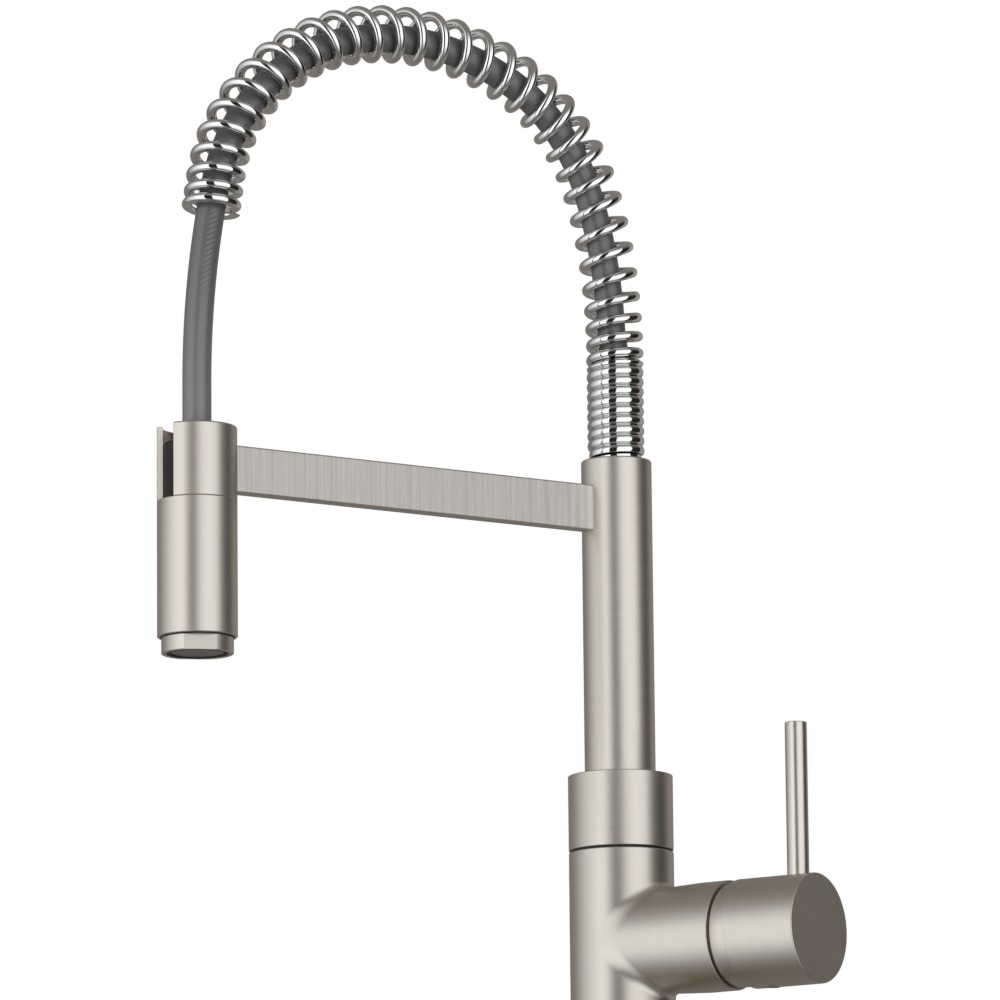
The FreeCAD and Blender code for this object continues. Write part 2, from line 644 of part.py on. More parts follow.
def spring_guide():
    room = GUIDE_LENGTH - GUIDE_FOOT - RIDGE_DIAMETER / 2
    quarters = int(4 * room / RIDGE_PITCH)
    places = [ridge_place(quarter / 4) for quarter in range(quarters + 1)]
    ridge = swept(wire_path(places), *places[0], RIDGE_DIAMETER / 2)
    return guide_sleeve().fuse(ridge)


def hose_connector():
    plug = COLUMN_BORE_R - FIT
    nipple = HOSE_BORE / 2 - FIT
    tail = CONNECTOR_TAIL_DIAMETER / 2
    bore = NIPPLE_BORE / 2
    bottom = HOSE_START - CONNECTOR_HEIGHT
    connector = turned([
        (bore, bottom - CONNECTOR_TAIL), (tail, bottom - CONNECTOR_TAIL), (tail, bottom), (plug, bottom),
        (plug, HOSE_START), (nipple, HOSE_START), (nipple, HOSE_START + NIPPLE_LENGTH),
        (bore, HOSE_START + NIPPLE_LENGTH)])
    half = CONNECTOR_SEAL_SECTION / 2 + FIT
    groove = tube(plug + FIT, plug - CONNECTOR_SEAL_SECTION, connector_seal_height() - half,
                  connector_seal_height() + half)
    return connector.cut(groove)


def connector_seal_height():
    return HOSE_START - CONNECTOR_HEIGHT / 2


def connector_seal():
    middle = COLUMN_BORE_R - FIT - CONNECTOR_SEAL_SECTION / 2
    return seal(middle, CONNECTOR_SEAL_SECTION, connector_seal_height())


# The arch that the hose and the spring follow

def crown_radius():
    """The crown's radius that brings the arch down on the spray head's axis."""
    crown_from = RISE_TURN + SHOULDER_TURN
    crown_to = crown_from + CROWN_TURN
    fall_to = crown_to + FALL_TURN
    others = RISE_RADIUS * across(0, RISE_TURN) + SHOULDER_RADIUS * across(RISE_TURN, crown_from)
    others += FALL_RADIUS * across(crown_to, fall_to) + DROP_RADIUS * across(fall_to, 180)
    return (SPOUT_REACH - others) / across(crown_from, crown_to)


def across(turn_from, turn_to):
    """Sideways travel of an arc of radius 1 between two headings off the vertical."""
    return math.cos(math.radians(turn_from)) - math.cos(math.radians(turn_to))


def arch_arcs():
    """The arch as (radius, turn in degrees), from the column to the spray head."""
    drop_turn = 180 - RISE_TURN - SHOULDER_TURN - CROWN_TURN - FALL_TURN
    return [(RISE_RADIUS, RISE_TURN), (SHOULDER_RADIUS, SHOULDER_TURN), (crown_radius(), CROWN_TURN),
            (FALL_RADIUS, FALL_TURN), (DROP_RADIUS, drop_turn)]


def arch_place(travel):
    """Point, direction and inward normal at a travel past the guide's top."""
    rise = ARCH_START - GUIDE_TOP
    point = Vector(0, 0, ARCH_START)
    turned_by = 0.0
    if travel <= rise:
        return Vector(0, 0, GUIDE_TOP + travel), heading(0), inward(0)
    left = travel - rise
    for radius, turn in arch_arcs():
        length = radius * math.radians(turn)
        part = min(left, length)
        centre = point + inward(turned_by) * radius
        turned_by += math.degrees(part / radius)
        point = centre - inward(turned_by) * radius
        if left <= length:
            return point, heading(turned_by), inward(turned_by)
        left -= length
    return point - UP * left, heading(180), inward(180)


def heading(turn):
    angle = math.radians(turn)
    return Vector(0, -math.sin(angle), math.cos(angle))


def inward(turn):
    angle = math.radians(turn)
    return Vector(0, -math.cos(angle), -math.sin(angle))


def hose_path():
    """The hose's centre line: a straight rise, the arch's arcs and a straight end."""
    travel = ARCH_START - GUIDE_TOP
    edges = [Part.makeLine(UP * HOSE_START, UP * ARCH_START)]
    for radius, turn in arch_arcs():
        length = radius * math.radians(turn)
        places = [arch_place(travel + length * share)[0] for share in (0, 0.5, 1)]
        edges.append(Part.Arc(*places).toShape())
        travel += length
    end = Vector(0, -SPOUT_REACH, HOSE_END)
    edges.append(Part.makeLine(places[2], end))
    return Part.Wire(edges)


def swept(path, start, direction, radius):
    """A round bar swept along a path."""
    section = Part.Wire(Part.makeCircle(radius, start, direction))
    sweep = Part.BRepOffsetAPI.MakePipeShell(path)
    sweep.add(section)
    sweep.build()
    sweep.makeSolid()
    return Part.Solid(sweep.shape())


def spray_hose():
    path = hose_path()
    outside = swept(path, UP * HOSE_START, UP, HOSE_R)
    bore = swept(path, UP * HOSE_START, UP, HOSE_BORE / 2)
    hose = outside.cut(bore)
    section = math.pi * (HOSE_R ** 2 - (HOSE_BORE / 2) ** 2)
    print("hose radii", [round(radius, 1) for radius, turn in arch_arcs()])
    print("hose length", round(path.Length, 1))
    print("hose volume", round(hose.Volume), "expected", round(section * path.Length))
    return hose


# Support spring

def spring_length():
    arcs = arch_arcs()[:-1]
    arched = sum(radius * math.radians(turn) for radius, turn in arcs)
    return ARCH_RISE + arched + SPRING_TAIL


def ease(share):
    share = max(0.0, min(1.0, share))
    return share * share * (3 - 2 * share)


def coil_pitch(travel):
    """Pitch of the turns at a travel along the spring."""
    share = travel / spring_length()
    for (low, low_pitch), (high, high_pitch) in zip(COIL_PITCHES, COIL_PITCHES[1:]):
        if share <= high:
            break
    return (low_pitch + (high_pitch - low_pitch) * (share - low) / (high - low)) * WIRE_DIAMETER


def coil_sag(travel):
    """How far the coil's middle lies outside the hose's, because the hose rests on the coil's inside."""
    share = travel / spring_length()
    room = COIL_R - WIRE_R - HOSE_R - RUN
    settled = ease((share - SAG_START) / (SAG_FULL - SAG_START))
    return room * settled * ease((1 - share) / (1 - SAG_RELEASE))


def coil_point(travel, phase):
    """Point of the wire at a travel along the arch and a phase in degrees."""
    centre, ahead, normal = arch_place(travel)
    angle = math.radians(phase)
    spoke = normal * math.cos(angle) + ahead.cross(normal) * math.sin(angle)
    return centre - normal * coil_sag(travel) + spoke * COIL_R


def coil_place(travel, phase):
    """Point and direction of the wire, the direction from the points one degree to either side."""
    degree = coil_pitch(travel) / 360
    along = coil_point(travel + degree, phase + 1) - coil_point(travel - degree, phase - 1)
    return coil_point(travel, phase), along.normalize()


def coil_places():
    """Points and directions of the wire at each quarter turn."""
    travel = WIRE_R + RUN
    phase = SPRING_PHASE
    places = []
    while travel < spring_length():
        places.append(coil_place(travel, phase))
        quarter = coil_pitch(travel) / 4
        travel += coil_pitch(travel + quarter / 2) / 4
        phase += 90
    return places


def biarc(start, start_way, end, end_way):
    """Two arcs that join two points with given directions."""
    chord = end - start
    ways = start_way + end_way
    spread = 2 * (1 - start_way.dot(end_way))
    lean = chord.dot(ways)
    reach = (math.sqrt(lean * lean + spread * chord.dot(chord)) - lean) / spread
    first = start + start_way * reach
    second = end - end_way * reach
    middle = (first + second) * 0.5
    return [bowed(start, first, middle), bowed(middle, second, end)]


def bowed(start, corner, end):
    """The arc from start to end whose tangents meet at a corner."""
    chord_middle = (start + end) * 0.5
    cosine = (end - start).Length / 2 / (corner - start).Length
    summit = chord_middle + (corner - chord_middle) * (cosine / (1 + cosine))
    return Part.Arc(start, summit, end).toShape()


def wire_path(places):
    """A smooth path of arcs through points with given directions."""
    edges = []
    for (start, start_way), (end, end_way) in zip(places, places[1:]):
        edges += biarc(start, start_way, end, end_way)
    return Part.Wire(edges)


def least_gap(places):
    """Least gap between turns, measured from each quarter-turn point to the next turns."""
    gaps = []
    for index, (point, way) in enumerate(places):
        for other, other_way in places[index + 3:index + 6]:
            gaps.append((other - point).Length - WIRE_DIAMETER)
    return min(gaps)


def support_spring():
    places = coil_places()
    path = wire_path(places)
    spring = swept(path, *places[0], WIRE_R)
    print("spring turns", len(places) / 4, "least gap", round(least_gap(places), 2))
    print("spring volume", round(spring.Volume), "expected", round(math.pi * WIRE_R ** 2 * path.Length))
    return spring


# Docking arm

def screw_heights():
    return (ARM_MIDDLE - SCREW_SPACING / 2, ARM_MIDDLE + SCREW_SPACING / 2)


def dock_arm():
    half = ARM_THICKNESS / 2
    bar = block(Vector(-half, -SPOUT_REACH, ARM_BOTTOM), Vector(half, 0, ARM_BOTTOM + ARM_HEIGHT))
    long_edges = [edge for edge in bar.Edges if edge.Length > SPOUT_REACH / 2]
    bar = bar.makeFillet(ARM_EDGE, long_edges)
    top = ARM_BOTTOM + ARM_HEIGHT
    bar = bar.cut(rod(COLUMN_R + FIT, UP * ARM_BOTTOM, UP * top))
    bar = bar.cut(at_spray(rod(DOCK_R + FIT, UP * ARM_BOTTOM, UP * top)))
    for height in screw_heights():
        column_end = Vector(0, -COLUMN_R - SCREW_REACH, height)
        sleeve_end = Vector(0, DOCK_R + SCREW_REACH - SPOUT_REACH, height)
        bar = bar.cut(rod(SCREW_DIAMETER / 2 + FIT, UP * height, column_end))
        bar = bar.cut(rod(SCREW_DIAMETER / 2 + FIT, Vector(0, -SPOUT_REACH, height), sleeve_end))
    return bar


def arm_column_screws():
    """Screws from inside the column into the arm."""
    seat = math.sqrt(COLUMN_BORE_R ** 2 - (SCREW_HEAD_DIAMETER / 2) ** 2)
    screws = []
    for height in screw_heights():
        neck = Vector(0, -seat, height)
        head = rod(SCREW_HEAD_DIAMETER / 2, neck + SIDE * SCREW_HEAD_HEIGHT, neck)
        shank = rod(SCREW_DIAMETER / 2, neck, Vector(0, -COLUMN_R - SCREW_REACH, height))
        screws.append(head.fuse(shank).removeSplitter())
    return Part.makeCompound(screws)


def sleeve_screw(height, clearance):
    """A countersunk screw from inside the dock sleeve, at the column axis for now."""
    head = SCREW_HEAD_DIAMETER / 2 + clearance
    shank = SCREW_DIAMETER / 2 + clearance
    sunk = Part.makeCone(head, shank, SUNK_HEAD_HEIGHT, Vector(0, DOCK_BORE_R, height), SIDE)
    return sunk.fuse(rod(shank, Vector(0, DOCK_BORE_R, height), Vector(0, DOCK_R + SCREW_REACH, height)))


def arm_sleeve_screws():
    screws = [sleeve_screw(height, 0).removeSplitter() for height in screw_heights()]
    return at_spray(Part.makeCompound(screws))


def dock_sleeve():
    sleeve = turned([
        (DOCK_BORE_R, DOCK_BOTTOM), (DOCK_R, DOCK_BOTTOM), (DOCK_R, DOCK_TOP - EDGE_BREAK),
        (DOCK_R - EDGE_BREAK, DOCK_TOP), (DOCK_BORE_R, DOCK_TOP)])
    half = DOCK_SLOT / 2
    slot = block(Vector(-half, -SPRAY_DIAMETER, DOCK_BOTTOM), Vector(half, 0, DOCK_TOP))
    sleeve = sleeve.cut(slot)
    for height in screw_heights():
        head = SCREW_HEAD_DIAMETER / 2 + FIT
        sleeve = sleeve.cut(sleeve_screw(height, FIT))
        sleeve = sleeve.cut(rod(head, Vector(0, 0, height), Vector(0, DOCK_BORE_R, height)))
    return at_spray(sleeve)


# Spray head, on its own axis

def spray_body():
    throat = NECK_THREAD_DIAMETER / 2 + FIT
    roof = DOCK_BOTTOM - SPRAY_ROOF
    return at_spray(turned([
        (SPRAY_BORE_R, SPRAY_BOTTOM), (DOCK_R - SPRAY_CHAMFER, SPRAY_BOTTOM),
        (DOCK_R, SPRAY_BOTTOM + SPRAY_CHAMFER), (DOCK_R, DOCK_BOTTOM), (throat, DOCK_BOTTOM),
        (throat, roof), (SPRAY_BORE_R, roof)]))


def spray_neck():
    thread = NECK_THREAD_DIAMETER / 2
    hose_hole = HOSE_R + RUN
    chamber = TAILPIECE_FLANGE_DIAMETER / 2 + FIT
    return at_spray(turned([
        (chamber, NECK_BOTTOM), (thread, NECK_BOTTOM), (thread, DOCK_BOTTOM), (NECK_R, DOCK_BOTTOM),
        (NECK_R, NECK_TOP - EDGE_BREAK), (NECK_R - EDGE_BREAK, NECK_TOP), (hose_hole, NECK_TOP),
        (hose_hole, HOSE_END), (chamber, HOSE_END)]))


def hose_tailpiece():
    bore = NIPPLE_BORE / 2
    nipple = HOSE_BORE / 2 - FIT
    flange = TAILPIECE_FLANGE_DIAMETER / 2
    flange_foot = HOSE_END - TAILPIECE_FLANGE
    tail = TAILPIECE_DIAMETER / 2
    return at_spray(turned([
        (bore, TAILPIECE_FOOT), (tail, TAILPIECE_FOOT), (tail, flange_foot), (flange, flange_foot),
        (flange, HOSE_END), (nipple, HOSE_END), (nipple, HOSE_END + NIPPLE_LENGTH),
        (bore, HOSE_END + NIPPLE_LENGTH)]))


def check_valve():
    outer = TAILPIECE_FLANGE_DIAMETER / 2
    return at_spray(tube(outer, NIPPLE_BORE / 2, TAILPIECE_FOOT - VALVE_LENGTH, TAILPIECE_FOOT))


def waterway_sleeve():
    outer = SPRAY_BORE_R - FIT
    bottom = SPRAY_BOTTOM + AERATOR_THREAD_LENGTH
    return at_spray(tube(outer, outer - WATERWAY_WALL, bottom, NECK_BOTTOM))


def aerator_ring():
    thread = SPRAY_BORE_R - FIT
    top = SPRAY_BOTTOM + AERATOR_THREAD_LENGTH
    inner = AERATOR_BORE_R - AERATOR_WALL
    ring = turned([
        (AERATOR_BORE_R, AERATOR_BOTTOM), (AERATOR_R - AERATOR_CHAMFER, AERATOR_BOTTOM),
        (AERATOR_R, AERATOR_BOTTOM + AERATOR_CHAMFER), (AERATOR_R, SPRAY_BOTTOM), (thread, SPRAY_BOTTOM),
        (thread, top), (inner, top), (inner, aerator_shelf()), (AERATOR_BORE_R, aerator_shelf())])
    flat = AERATOR_FLATS / 2
    for side in (-1, 1):
        near = Vector(side * flat, -AERATOR_R, AERATOR_BOTTOM)
        far = Vector(side * AERATOR_DIAMETER, AERATOR_R, AERATOR_BOTTOM + AERATOR_FLAT_HEIGHT)
        low = Vector(min(near.x, far.x), near.y, near.z)
        high = Vector(max(near.x, far.x), far.y, far.z)
        ring = ring.cut(block(low, high).rotate(ORIGIN, UP, AERATOR_TURN))
    return at_spray(ring)


def aerator_shelf():
    return AERATOR_BOTTOM + AERATOR_SEAL_RECESS + AERATOR_SEAL_HEIGHT


def aerator_seal():
    outer = AERATOR_BORE_R - FIT
    bottom = AERATOR_BOTTOM + AERATOR_SEAL_RECESS
    return at_spray(tube(outer, outer - AERATOR_SEAL_WIDTH, bottom, bottom + AERATOR_SEAL_HEIGHT))


def aerator_insert():
    radius = AERATOR_BORE_R - FIT - AERATOR_SEAL_WIDTH - FIT
    bottom = AERATOR_BOTTOM + AERATOR_FACE_RECESS
    return at_spray(rod(radius, UP * bottom, UP * (bottom + AERATOR_INSERT_HEIGHT)))


PIECES = {
    "base_ring": base_ring(),
    "deck_seal": deck_seal(),
    "mounting_shank": mounting_shank(),
    "rubber_washer": rubber_washer(),
    "clamp_washer": clamp_washer(),
    "fixing_nut": fixing_nut(),
    "mixer_body": mixer_body(),
    "cartridge_body": on_branch(cartridge_body()),
    "fixed_disc": on_branch(fixed_disc()),
    "moving_disc": on_branch(moving_disc()),
    "disc_carrier": on_branch(disc_carrier()),
    "stem_carrier": on_branch(stem_carrier()),
    "pivot_pin": on_branch(pivot_pin()),
    "cartridge_stem": on_branch(cartridge_stem()),
    "cartridge_nut": on_branch(cartridge_nut()),
    "cartridge_dome": on_branch(cartridge_dome()),
    "handle_cap": on_branch(handle_cap()),
    "lever_rod": on_branch(lever_rod()),
    "stem_screw": on_branch(stem_screw()),
    "screw_cover": on_branch(screw_cover()),
    "outlet_spigot": outlet_spigot(),
    "spigot_seals": spigot_seals(),
    "slip_ring": slip_ring(),
    "snap_ring": snap_ring(),
    "swivel_collar": swivel_collar(),
    "column": column(),
    "spring_guide": spring_guide(),
    "hose_connector": hose_connector(),
    "connector_seal": connector_seal(),
    "spray_hose": spray_hose(),
    "support_spring": support_spring(),
    "dock_arm": dock_arm(),
    "arm_column_screws": arm_column_screws(),
    "arm_sleeve_screws": arm_sleeve_screws(),
    "dock_sleeve": dock_sleeve(),
    "spray_body": spray_body(),
    "spray_neck": spray_neck(),
    "hose_tailpiece": hose_tailpiece(),
    "check_valve": check_valve(),
    "waterway_sleeve": waterway_sleeve(),
    "aerator_ring": aerator_ring(),
    "aerator_seal": aerator_seal(),
    "aerator_insert": aerator_insert(),
}

os.makedirs("parts", exist_ok=True)
for name, piece in PIECES.items():
    piece.exportStep("parts/" + name + ".step")
    print(name, len(piece.Solids), piece.isValid(), round(piece.Volume))
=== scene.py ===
# %% [markdown]
# # A kitchen mixer tap with a spring arch
# The construction is finished: every piece is a solid at its real size. This lesson
# dresses those solids for the camera. Each step says what the piece is on the real
# tap, how it could be made in Blender, and why it is made this way here.

# %% Load the solids as a fixed frame
import json
import math

import bpy
import numpy as np
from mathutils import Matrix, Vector

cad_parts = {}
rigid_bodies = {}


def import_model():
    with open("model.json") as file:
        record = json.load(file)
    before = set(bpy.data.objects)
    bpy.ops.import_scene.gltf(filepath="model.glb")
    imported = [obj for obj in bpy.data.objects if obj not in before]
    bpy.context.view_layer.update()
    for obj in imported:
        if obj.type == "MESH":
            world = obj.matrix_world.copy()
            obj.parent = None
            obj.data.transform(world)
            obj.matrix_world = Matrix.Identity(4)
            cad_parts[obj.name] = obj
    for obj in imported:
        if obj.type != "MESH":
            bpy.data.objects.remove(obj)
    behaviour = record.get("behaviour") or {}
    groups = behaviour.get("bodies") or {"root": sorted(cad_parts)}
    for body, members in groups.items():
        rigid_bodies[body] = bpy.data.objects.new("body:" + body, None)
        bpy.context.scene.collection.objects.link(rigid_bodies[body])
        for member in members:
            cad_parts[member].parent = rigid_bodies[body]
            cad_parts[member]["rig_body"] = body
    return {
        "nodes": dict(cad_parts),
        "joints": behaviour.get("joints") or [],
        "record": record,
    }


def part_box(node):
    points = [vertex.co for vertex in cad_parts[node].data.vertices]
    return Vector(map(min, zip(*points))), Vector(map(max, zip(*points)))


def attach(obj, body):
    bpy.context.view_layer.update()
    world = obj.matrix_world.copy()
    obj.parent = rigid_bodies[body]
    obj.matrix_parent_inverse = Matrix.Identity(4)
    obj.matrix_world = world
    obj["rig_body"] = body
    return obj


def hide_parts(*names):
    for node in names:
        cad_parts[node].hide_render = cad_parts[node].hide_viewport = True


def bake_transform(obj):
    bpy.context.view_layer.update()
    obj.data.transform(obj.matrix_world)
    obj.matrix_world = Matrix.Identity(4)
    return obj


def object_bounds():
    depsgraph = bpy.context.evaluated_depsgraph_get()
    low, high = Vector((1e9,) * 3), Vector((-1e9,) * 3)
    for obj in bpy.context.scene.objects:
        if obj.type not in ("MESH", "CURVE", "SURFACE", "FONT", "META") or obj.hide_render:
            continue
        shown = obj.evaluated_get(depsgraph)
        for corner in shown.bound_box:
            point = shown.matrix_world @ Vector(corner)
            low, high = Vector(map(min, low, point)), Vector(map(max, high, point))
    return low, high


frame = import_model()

cad_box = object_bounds()
MM = 0.001
UP = Vector((0, 0, 1))

# %% [markdown]
# ## The camera
# The picture to match was taken through a long lens from a little below the worktop,
# so upright edges stay parallel and the underside of the spray head shows. A camera
# could be aimed with a Track To constraint, but that leaves no say over its roll.
# Here the three axes of the camera are worked out from heading, pitch and roll.

# %% Camera
CAMERA_PLACE = Vector((2.7771, -1.8826, -0.36054))
CAMERA_HEADING = math.radians(-56.785)      # from +Y towards +X
CAMERA_PITCH = math.radians(10.462)
CAMERA_ROLL = math.radians(-0.583)
CAMERA_LENS = 266.435                       # millimetres
SENSOR_WIDTH = 36

level_forward = Vector((math.sin(CAMERA_HEADING), math.cos(CAMERA_HEADING), 0))
level_right = level_forward.cross(UP)
forward = level_forward * math.cos(CAMERA_PITCH) + UP * math.sin(CAMERA_PITCH)
camera_up = level_right.cross(forward)
right = level_right * math.cos(CAMERA_ROLL) + camera_up * math.sin(CAMERA_ROLL)
camera_up = right.cross(forward)

camera = bpy.data.objects.new("camera", bpy.data.cameras.new("camera"))
bpy.context.scene.collection.objects.link(camera)
bpy.context.scene.camera = camera
camera.data.lens = CAMERA_LENS
camera.data.sensor_width = SENSOR_WIDTH
for row in range(3):
    camera.matrix_world[row][0:4] = [right[row], camera_up[row], -forward[row], CAMERA_PLACE[row]]
print("camera looks along", [round(part, 3) for part in forward])

# %% [markdown]
# ## Sums on sockets
# Finishes and rule-made shapes need arithmetic inside node trees. Wiring each Math
# node by hand hides the formula, so one small class wraps a socket and lets Python's
# own operators add the nodes. The same class serves shader and geometry trees.


# %% A socket that takes part in sums
class Signal:
    """A node's output that can be used in Python sums."""

    def __init__(self, tree, socket):
        self.tree = tree
        self.socket = socket

    @classmethod
    def node(cls, tree, kind, settings, sockets, output=0):
        """Adds any node: its settings first, then a value or a link for each socket."""
        node = tree.nodes.new(kind)
        for name, value in settings.items():
            setattr(node, name, value)
        for key, value in sockets.items():
            if isinstance(value, Signal):
                tree.links.new(value.socket, node.inputs[key])
            else:
                node.inputs[key].default_value = value
        return cls(tree, node.outputs[output])

    def math(self, operation, *values):
        """A Math node on this signal and further values."""
        sockets = dict(enumerate([self, *values]))
        return Signal.node(self.tree, "ShaderNodeMath", {"operation": operation}, sockets)

    def reflected(self, operation, other):
        """A Math node on a plain number and this signal."""
        sockets = {0: other, 1: self}
        return Signal.node(self.tree, "ShaderNodeMath", {"operation": operation}, sockets)

    def vector(self, operation, *values, output=0):
        """A Vector Math node on this signal and further values."""
        sockets = dict(enumerate([self, *values]))
        settings = {"operation": operation}
        return Signal.node(self.tree, "ShaderNodeVectorMath", settings, sockets, output)

    def __add__(self, other):
        return self.math("ADD", other)

    def __radd__(self, other):
        return self.reflected("ADD", other)

    def __sub__(self, other):
        return self.math("SUBTRACT", other)

    def __rsub__(self, other):
        return self.reflected("SUBTRACT", other)

    def __mul__(self, other):
        return self.math("MULTIPLY", other)

    def __truediv__(self, other):
        return self.math("DIVIDE", other)

    def __rtruediv__(self, other):
        return self.reflected("DIVIDE", other)

    def step(self, low, high):
        """0 at low, 1 at high, and smooth between."""
        settings = {"interpolation_type": "SMOOTHSTEP"}
        sockets = {"Value": self, "From Min": low, "From Max": high}
        return Signal.node(self.tree, "ShaderNodeMapRange", settings, sockets)

    def ramp(self, low, high, first, last):
        """First at low, last at high, straight between and level outside."""
        sockets = {"Value": self, "From Min": low, "From Max": high, "To Min": first, "To Max": last}
        return Signal.node(self.tree, "ShaderNodeMapRange", {}, sockets)

    def dot(self, direction):
        return self.vector("DOT_PRODUCT", tuple(direction), output="Value")

    def length(self):
        return self.vector("LENGTH", output="Value")

    def scaled(self, factor):
        """This vector times a number or a signal."""
        settings = {"operation": "SCALE"}
        return Signal.node(self.tree, "ShaderNodeVectorMath", settings, {0: self, "Scale": factor})

    def mixed(self, first, second):
        """A colour between two colours, with this signal as the share of the second."""
        sockets = {0: self, 6: first, 7: second}
        return Signal.node(self.tree, "ShaderNodeMix", {"data_type": "RGBA"}, sockets, 2)


print("sums on sockets ready")

# %% [markdown]
# ## Studio light
# Metal shows what stands round it more than its own colour. In the picture every
# upright tube has a light band on its left, a dark line, a second light band and a
# dark right side: two tall soft boxes, one each side of the camera, in a dim room. A
# faint board at the far right is what the handle's end face mirrors.
# Area lights could do that, but boxes painted on the world give soft edges and no
# noise. What the camera itself sees past the tap stays white.

# %% Two soft boxes on the world
LEFT_BOX = (-128, -28)          # degrees to the right of the camera, seen from the tap
LEFT_LIGHT = (0.15, 1.85)       # at the box's far and near edges
RIGHT_BOX = (4, 68)
RIGHT_LIGHT = 1.4
SIDE_BOARD = (117, 155)         # a dim board that the handle's end face mirrors
SIDE_LIGHT = 0.36
BACK_LIGHT = 0.22               # from behind the tap
BOX_EDGE = 2                    # half the width of a soft upright edge
BOX_RISE = (-41, 34)            # degrees above the horizon
BOX_FADE = 25                   # half the height of a soft top or bottom edge
GAP_LIGHT = 0.02                # between the boxes
ROOM_LIGHT = (0.2, 0.24)        # below and above them
ROOM_TINT = (1.0, 0.92, 0.84, 1)
WHITE = (1, 1, 1, 1)


def window(signal, low, high, edge):
    """1 between low and high and 0 outside, with soft edges."""
    return signal.step(low - edge, low + edge) - signal.step(high - edge, high + edge)


def light_studio():
    scene = bpy.context.scene
    scene.view_settings.view_transform = "Standard"
    scene.world = bpy.data.worlds.new("studio")
    scene.world.use_nodes = True
    tree = scene.world.node_tree
    towards = Signal.node(tree, "ShaderNodeTexCoord", {}, {}, "Generated")
    degrees = 180 / math.pi
    azimuth = towards.dot(level_right).math("ARCTAN2", towards.dot(-level_forward)) * degrees
    elevation = towards.dot(UP).math("ARCSINE") * degrees
    left = window(azimuth, *LEFT_BOX, BOX_EDGE) * azimuth.ramp(*LEFT_BOX, *LEFT_LIGHT)
    right = window(azimuth, *RIGHT_BOX, BOX_EDGE) * RIGHT_LIGHT
    side = window(azimuth, *SIDE_BOARD, BOX_EDGE) * SIDE_LIGHT
    back = (1 - window(azimuth, LEFT_BOX[0], SIDE_BOARD[1], BOX_EDGE)) * BACK_LIGHT
    tall = window(elevation, *BOX_RISE, BOX_FADE)
    room = elevation.ramp(*BOX_RISE, *ROOM_LIGHT)
    light = (left + right + side + back + GAP_LIGHT) * tall + room * (1 - tall)
    seen = Signal.node(tree, "ShaderNodeLightPath", {}, {}, "Is Camera Ray")
    background = tree.nodes["Background"]
    tree.links.new((seen + (1 - seen) * light).socket, background.inputs["Strength"])
    white = (seen + (left + right) * tall).step(0.0, 0.5)
    tree.links.new(white.mixed(ROOM_TINT, WHITE).socket, background.inputs["Color"])


light_studio()
print("studio lit")

# %% [markdown]
# ## Brushed nickel
# The tap is spun against an abrasive pad, so its finish is thousands of fine lines
# round each turned piece. The flat arm is drawn over a belt, which leaves deeper lines
# across it. A picture of brushed metal would need an image. Here noise is drawn out
# instead: its coordinates run fast along the piece's axis and slowly round it. The
# lines change roughness, tint and a faint bump.

# %% Brushed metal that follows an axis
NICKEL_DARK = (0.605, 0.572, 0.512, 1)
NICKEL_LIGHT = (0.705, 0.668, 0.602, 1)
NICKEL_ROUGHNESS = 0.4
NICKEL_CONTRAST = 1.3           # of the brush lines
BRUSH_COARSE = (1500, 30)       # lines per metre along the axis and round it
BRUSH_FINE = (4200, 90)
COARSE_SHARE = 0.6
ROUGHNESS_SPREAD = 0.08         # between the dullest and the brightest line
BRUSH_BUMP = 0.00001
BUMP_STRENGTH = 0.2
BELT_LINES = (420, 8)
BELT_TINTS = ((0.56, 0.535, 0.505, 1), (0.77, 0.735, 0.695, 1))
BELT_ROUGHNESS = 0.45
BELT_CONTRAST = 4.5
LEVER_ROUGHNESS = 0.34
LEVER_CONTRAST = 0.35


def new_finish(name, color, metallic, roughness):
    """A material with its Principled shader's plain values set."""
    material = bpy.data.materials.new(name)
    material.use_nodes = True
    shader = material.node_tree.nodes["Principled BSDF"]
    shader.inputs["Base Color"].default_value = color
    shader.inputs["Metallic"].default_value = metallic
    shader.inputs["Roughness"].default_value = roughness
    return material, material.node_tree, shader


def object_place(tree):
    return Signal.node(tree, "ShaderNodeTexCoord", {}, {}, "Object")


def noise(tree, place, detail=2.0):
    sockets = {"Vector": place, "Scale": 1.0, "Detail": detail, "Roughness": 0.6}
    return Signal.node(tree, "ShaderNodeTexNoise", {}, sockets, "Fac")


def brush_lines(tree, axis, density):
    """Noise that changes fast along the axis and slowly across it."""
    fast, slow = density
    place = object_place(tree)
    settings = {"operation": "SCALE"}
    sockets = {0: tuple(axis), "Scale": place.dot(axis) * fast}
    along = Signal.node(tree, "ShaderNodeVectorMath", settings, sockets)
    return noise(tree, along.vector("ADD", place.scaled(slow)))


def brush_marks(tree, axis):
    coarse = brush_lines(tree, axis, BRUSH_COARSE) * COARSE_SHARE
    return coarse + brush_lines(tree, axis, BRUSH_FINE) * (1 - COARSE_SHARE)


def dress_brushed(tree, shader, marks, roughness, contrast, tints=(NICKEL_DARK, NICKEL_LIGHT)):
    """Lets brush marks set the tint, the roughness and the bump."""
    lines = (marks - 0.5) * contrast + 0.5
    tree.links.new(lines.mixed(*tints).socket, shader.inputs["Base Color"])
    dullness = lines * ROUGHNESS_SPREAD + (roughness - ROUGHNESS_SPREAD / 2)
    tree.links.new(dullness.socket, shader.inputs["Roughness"])
    sockets = {"Strength": BUMP_STRENGTH, "Distance": BRUSH_BUMP, "Height": lines}
    bump = Signal.node(tree, "ShaderNodeBump", {}, sockets)
    tree.links.new(bump.socket, shader.inputs["Normal"])


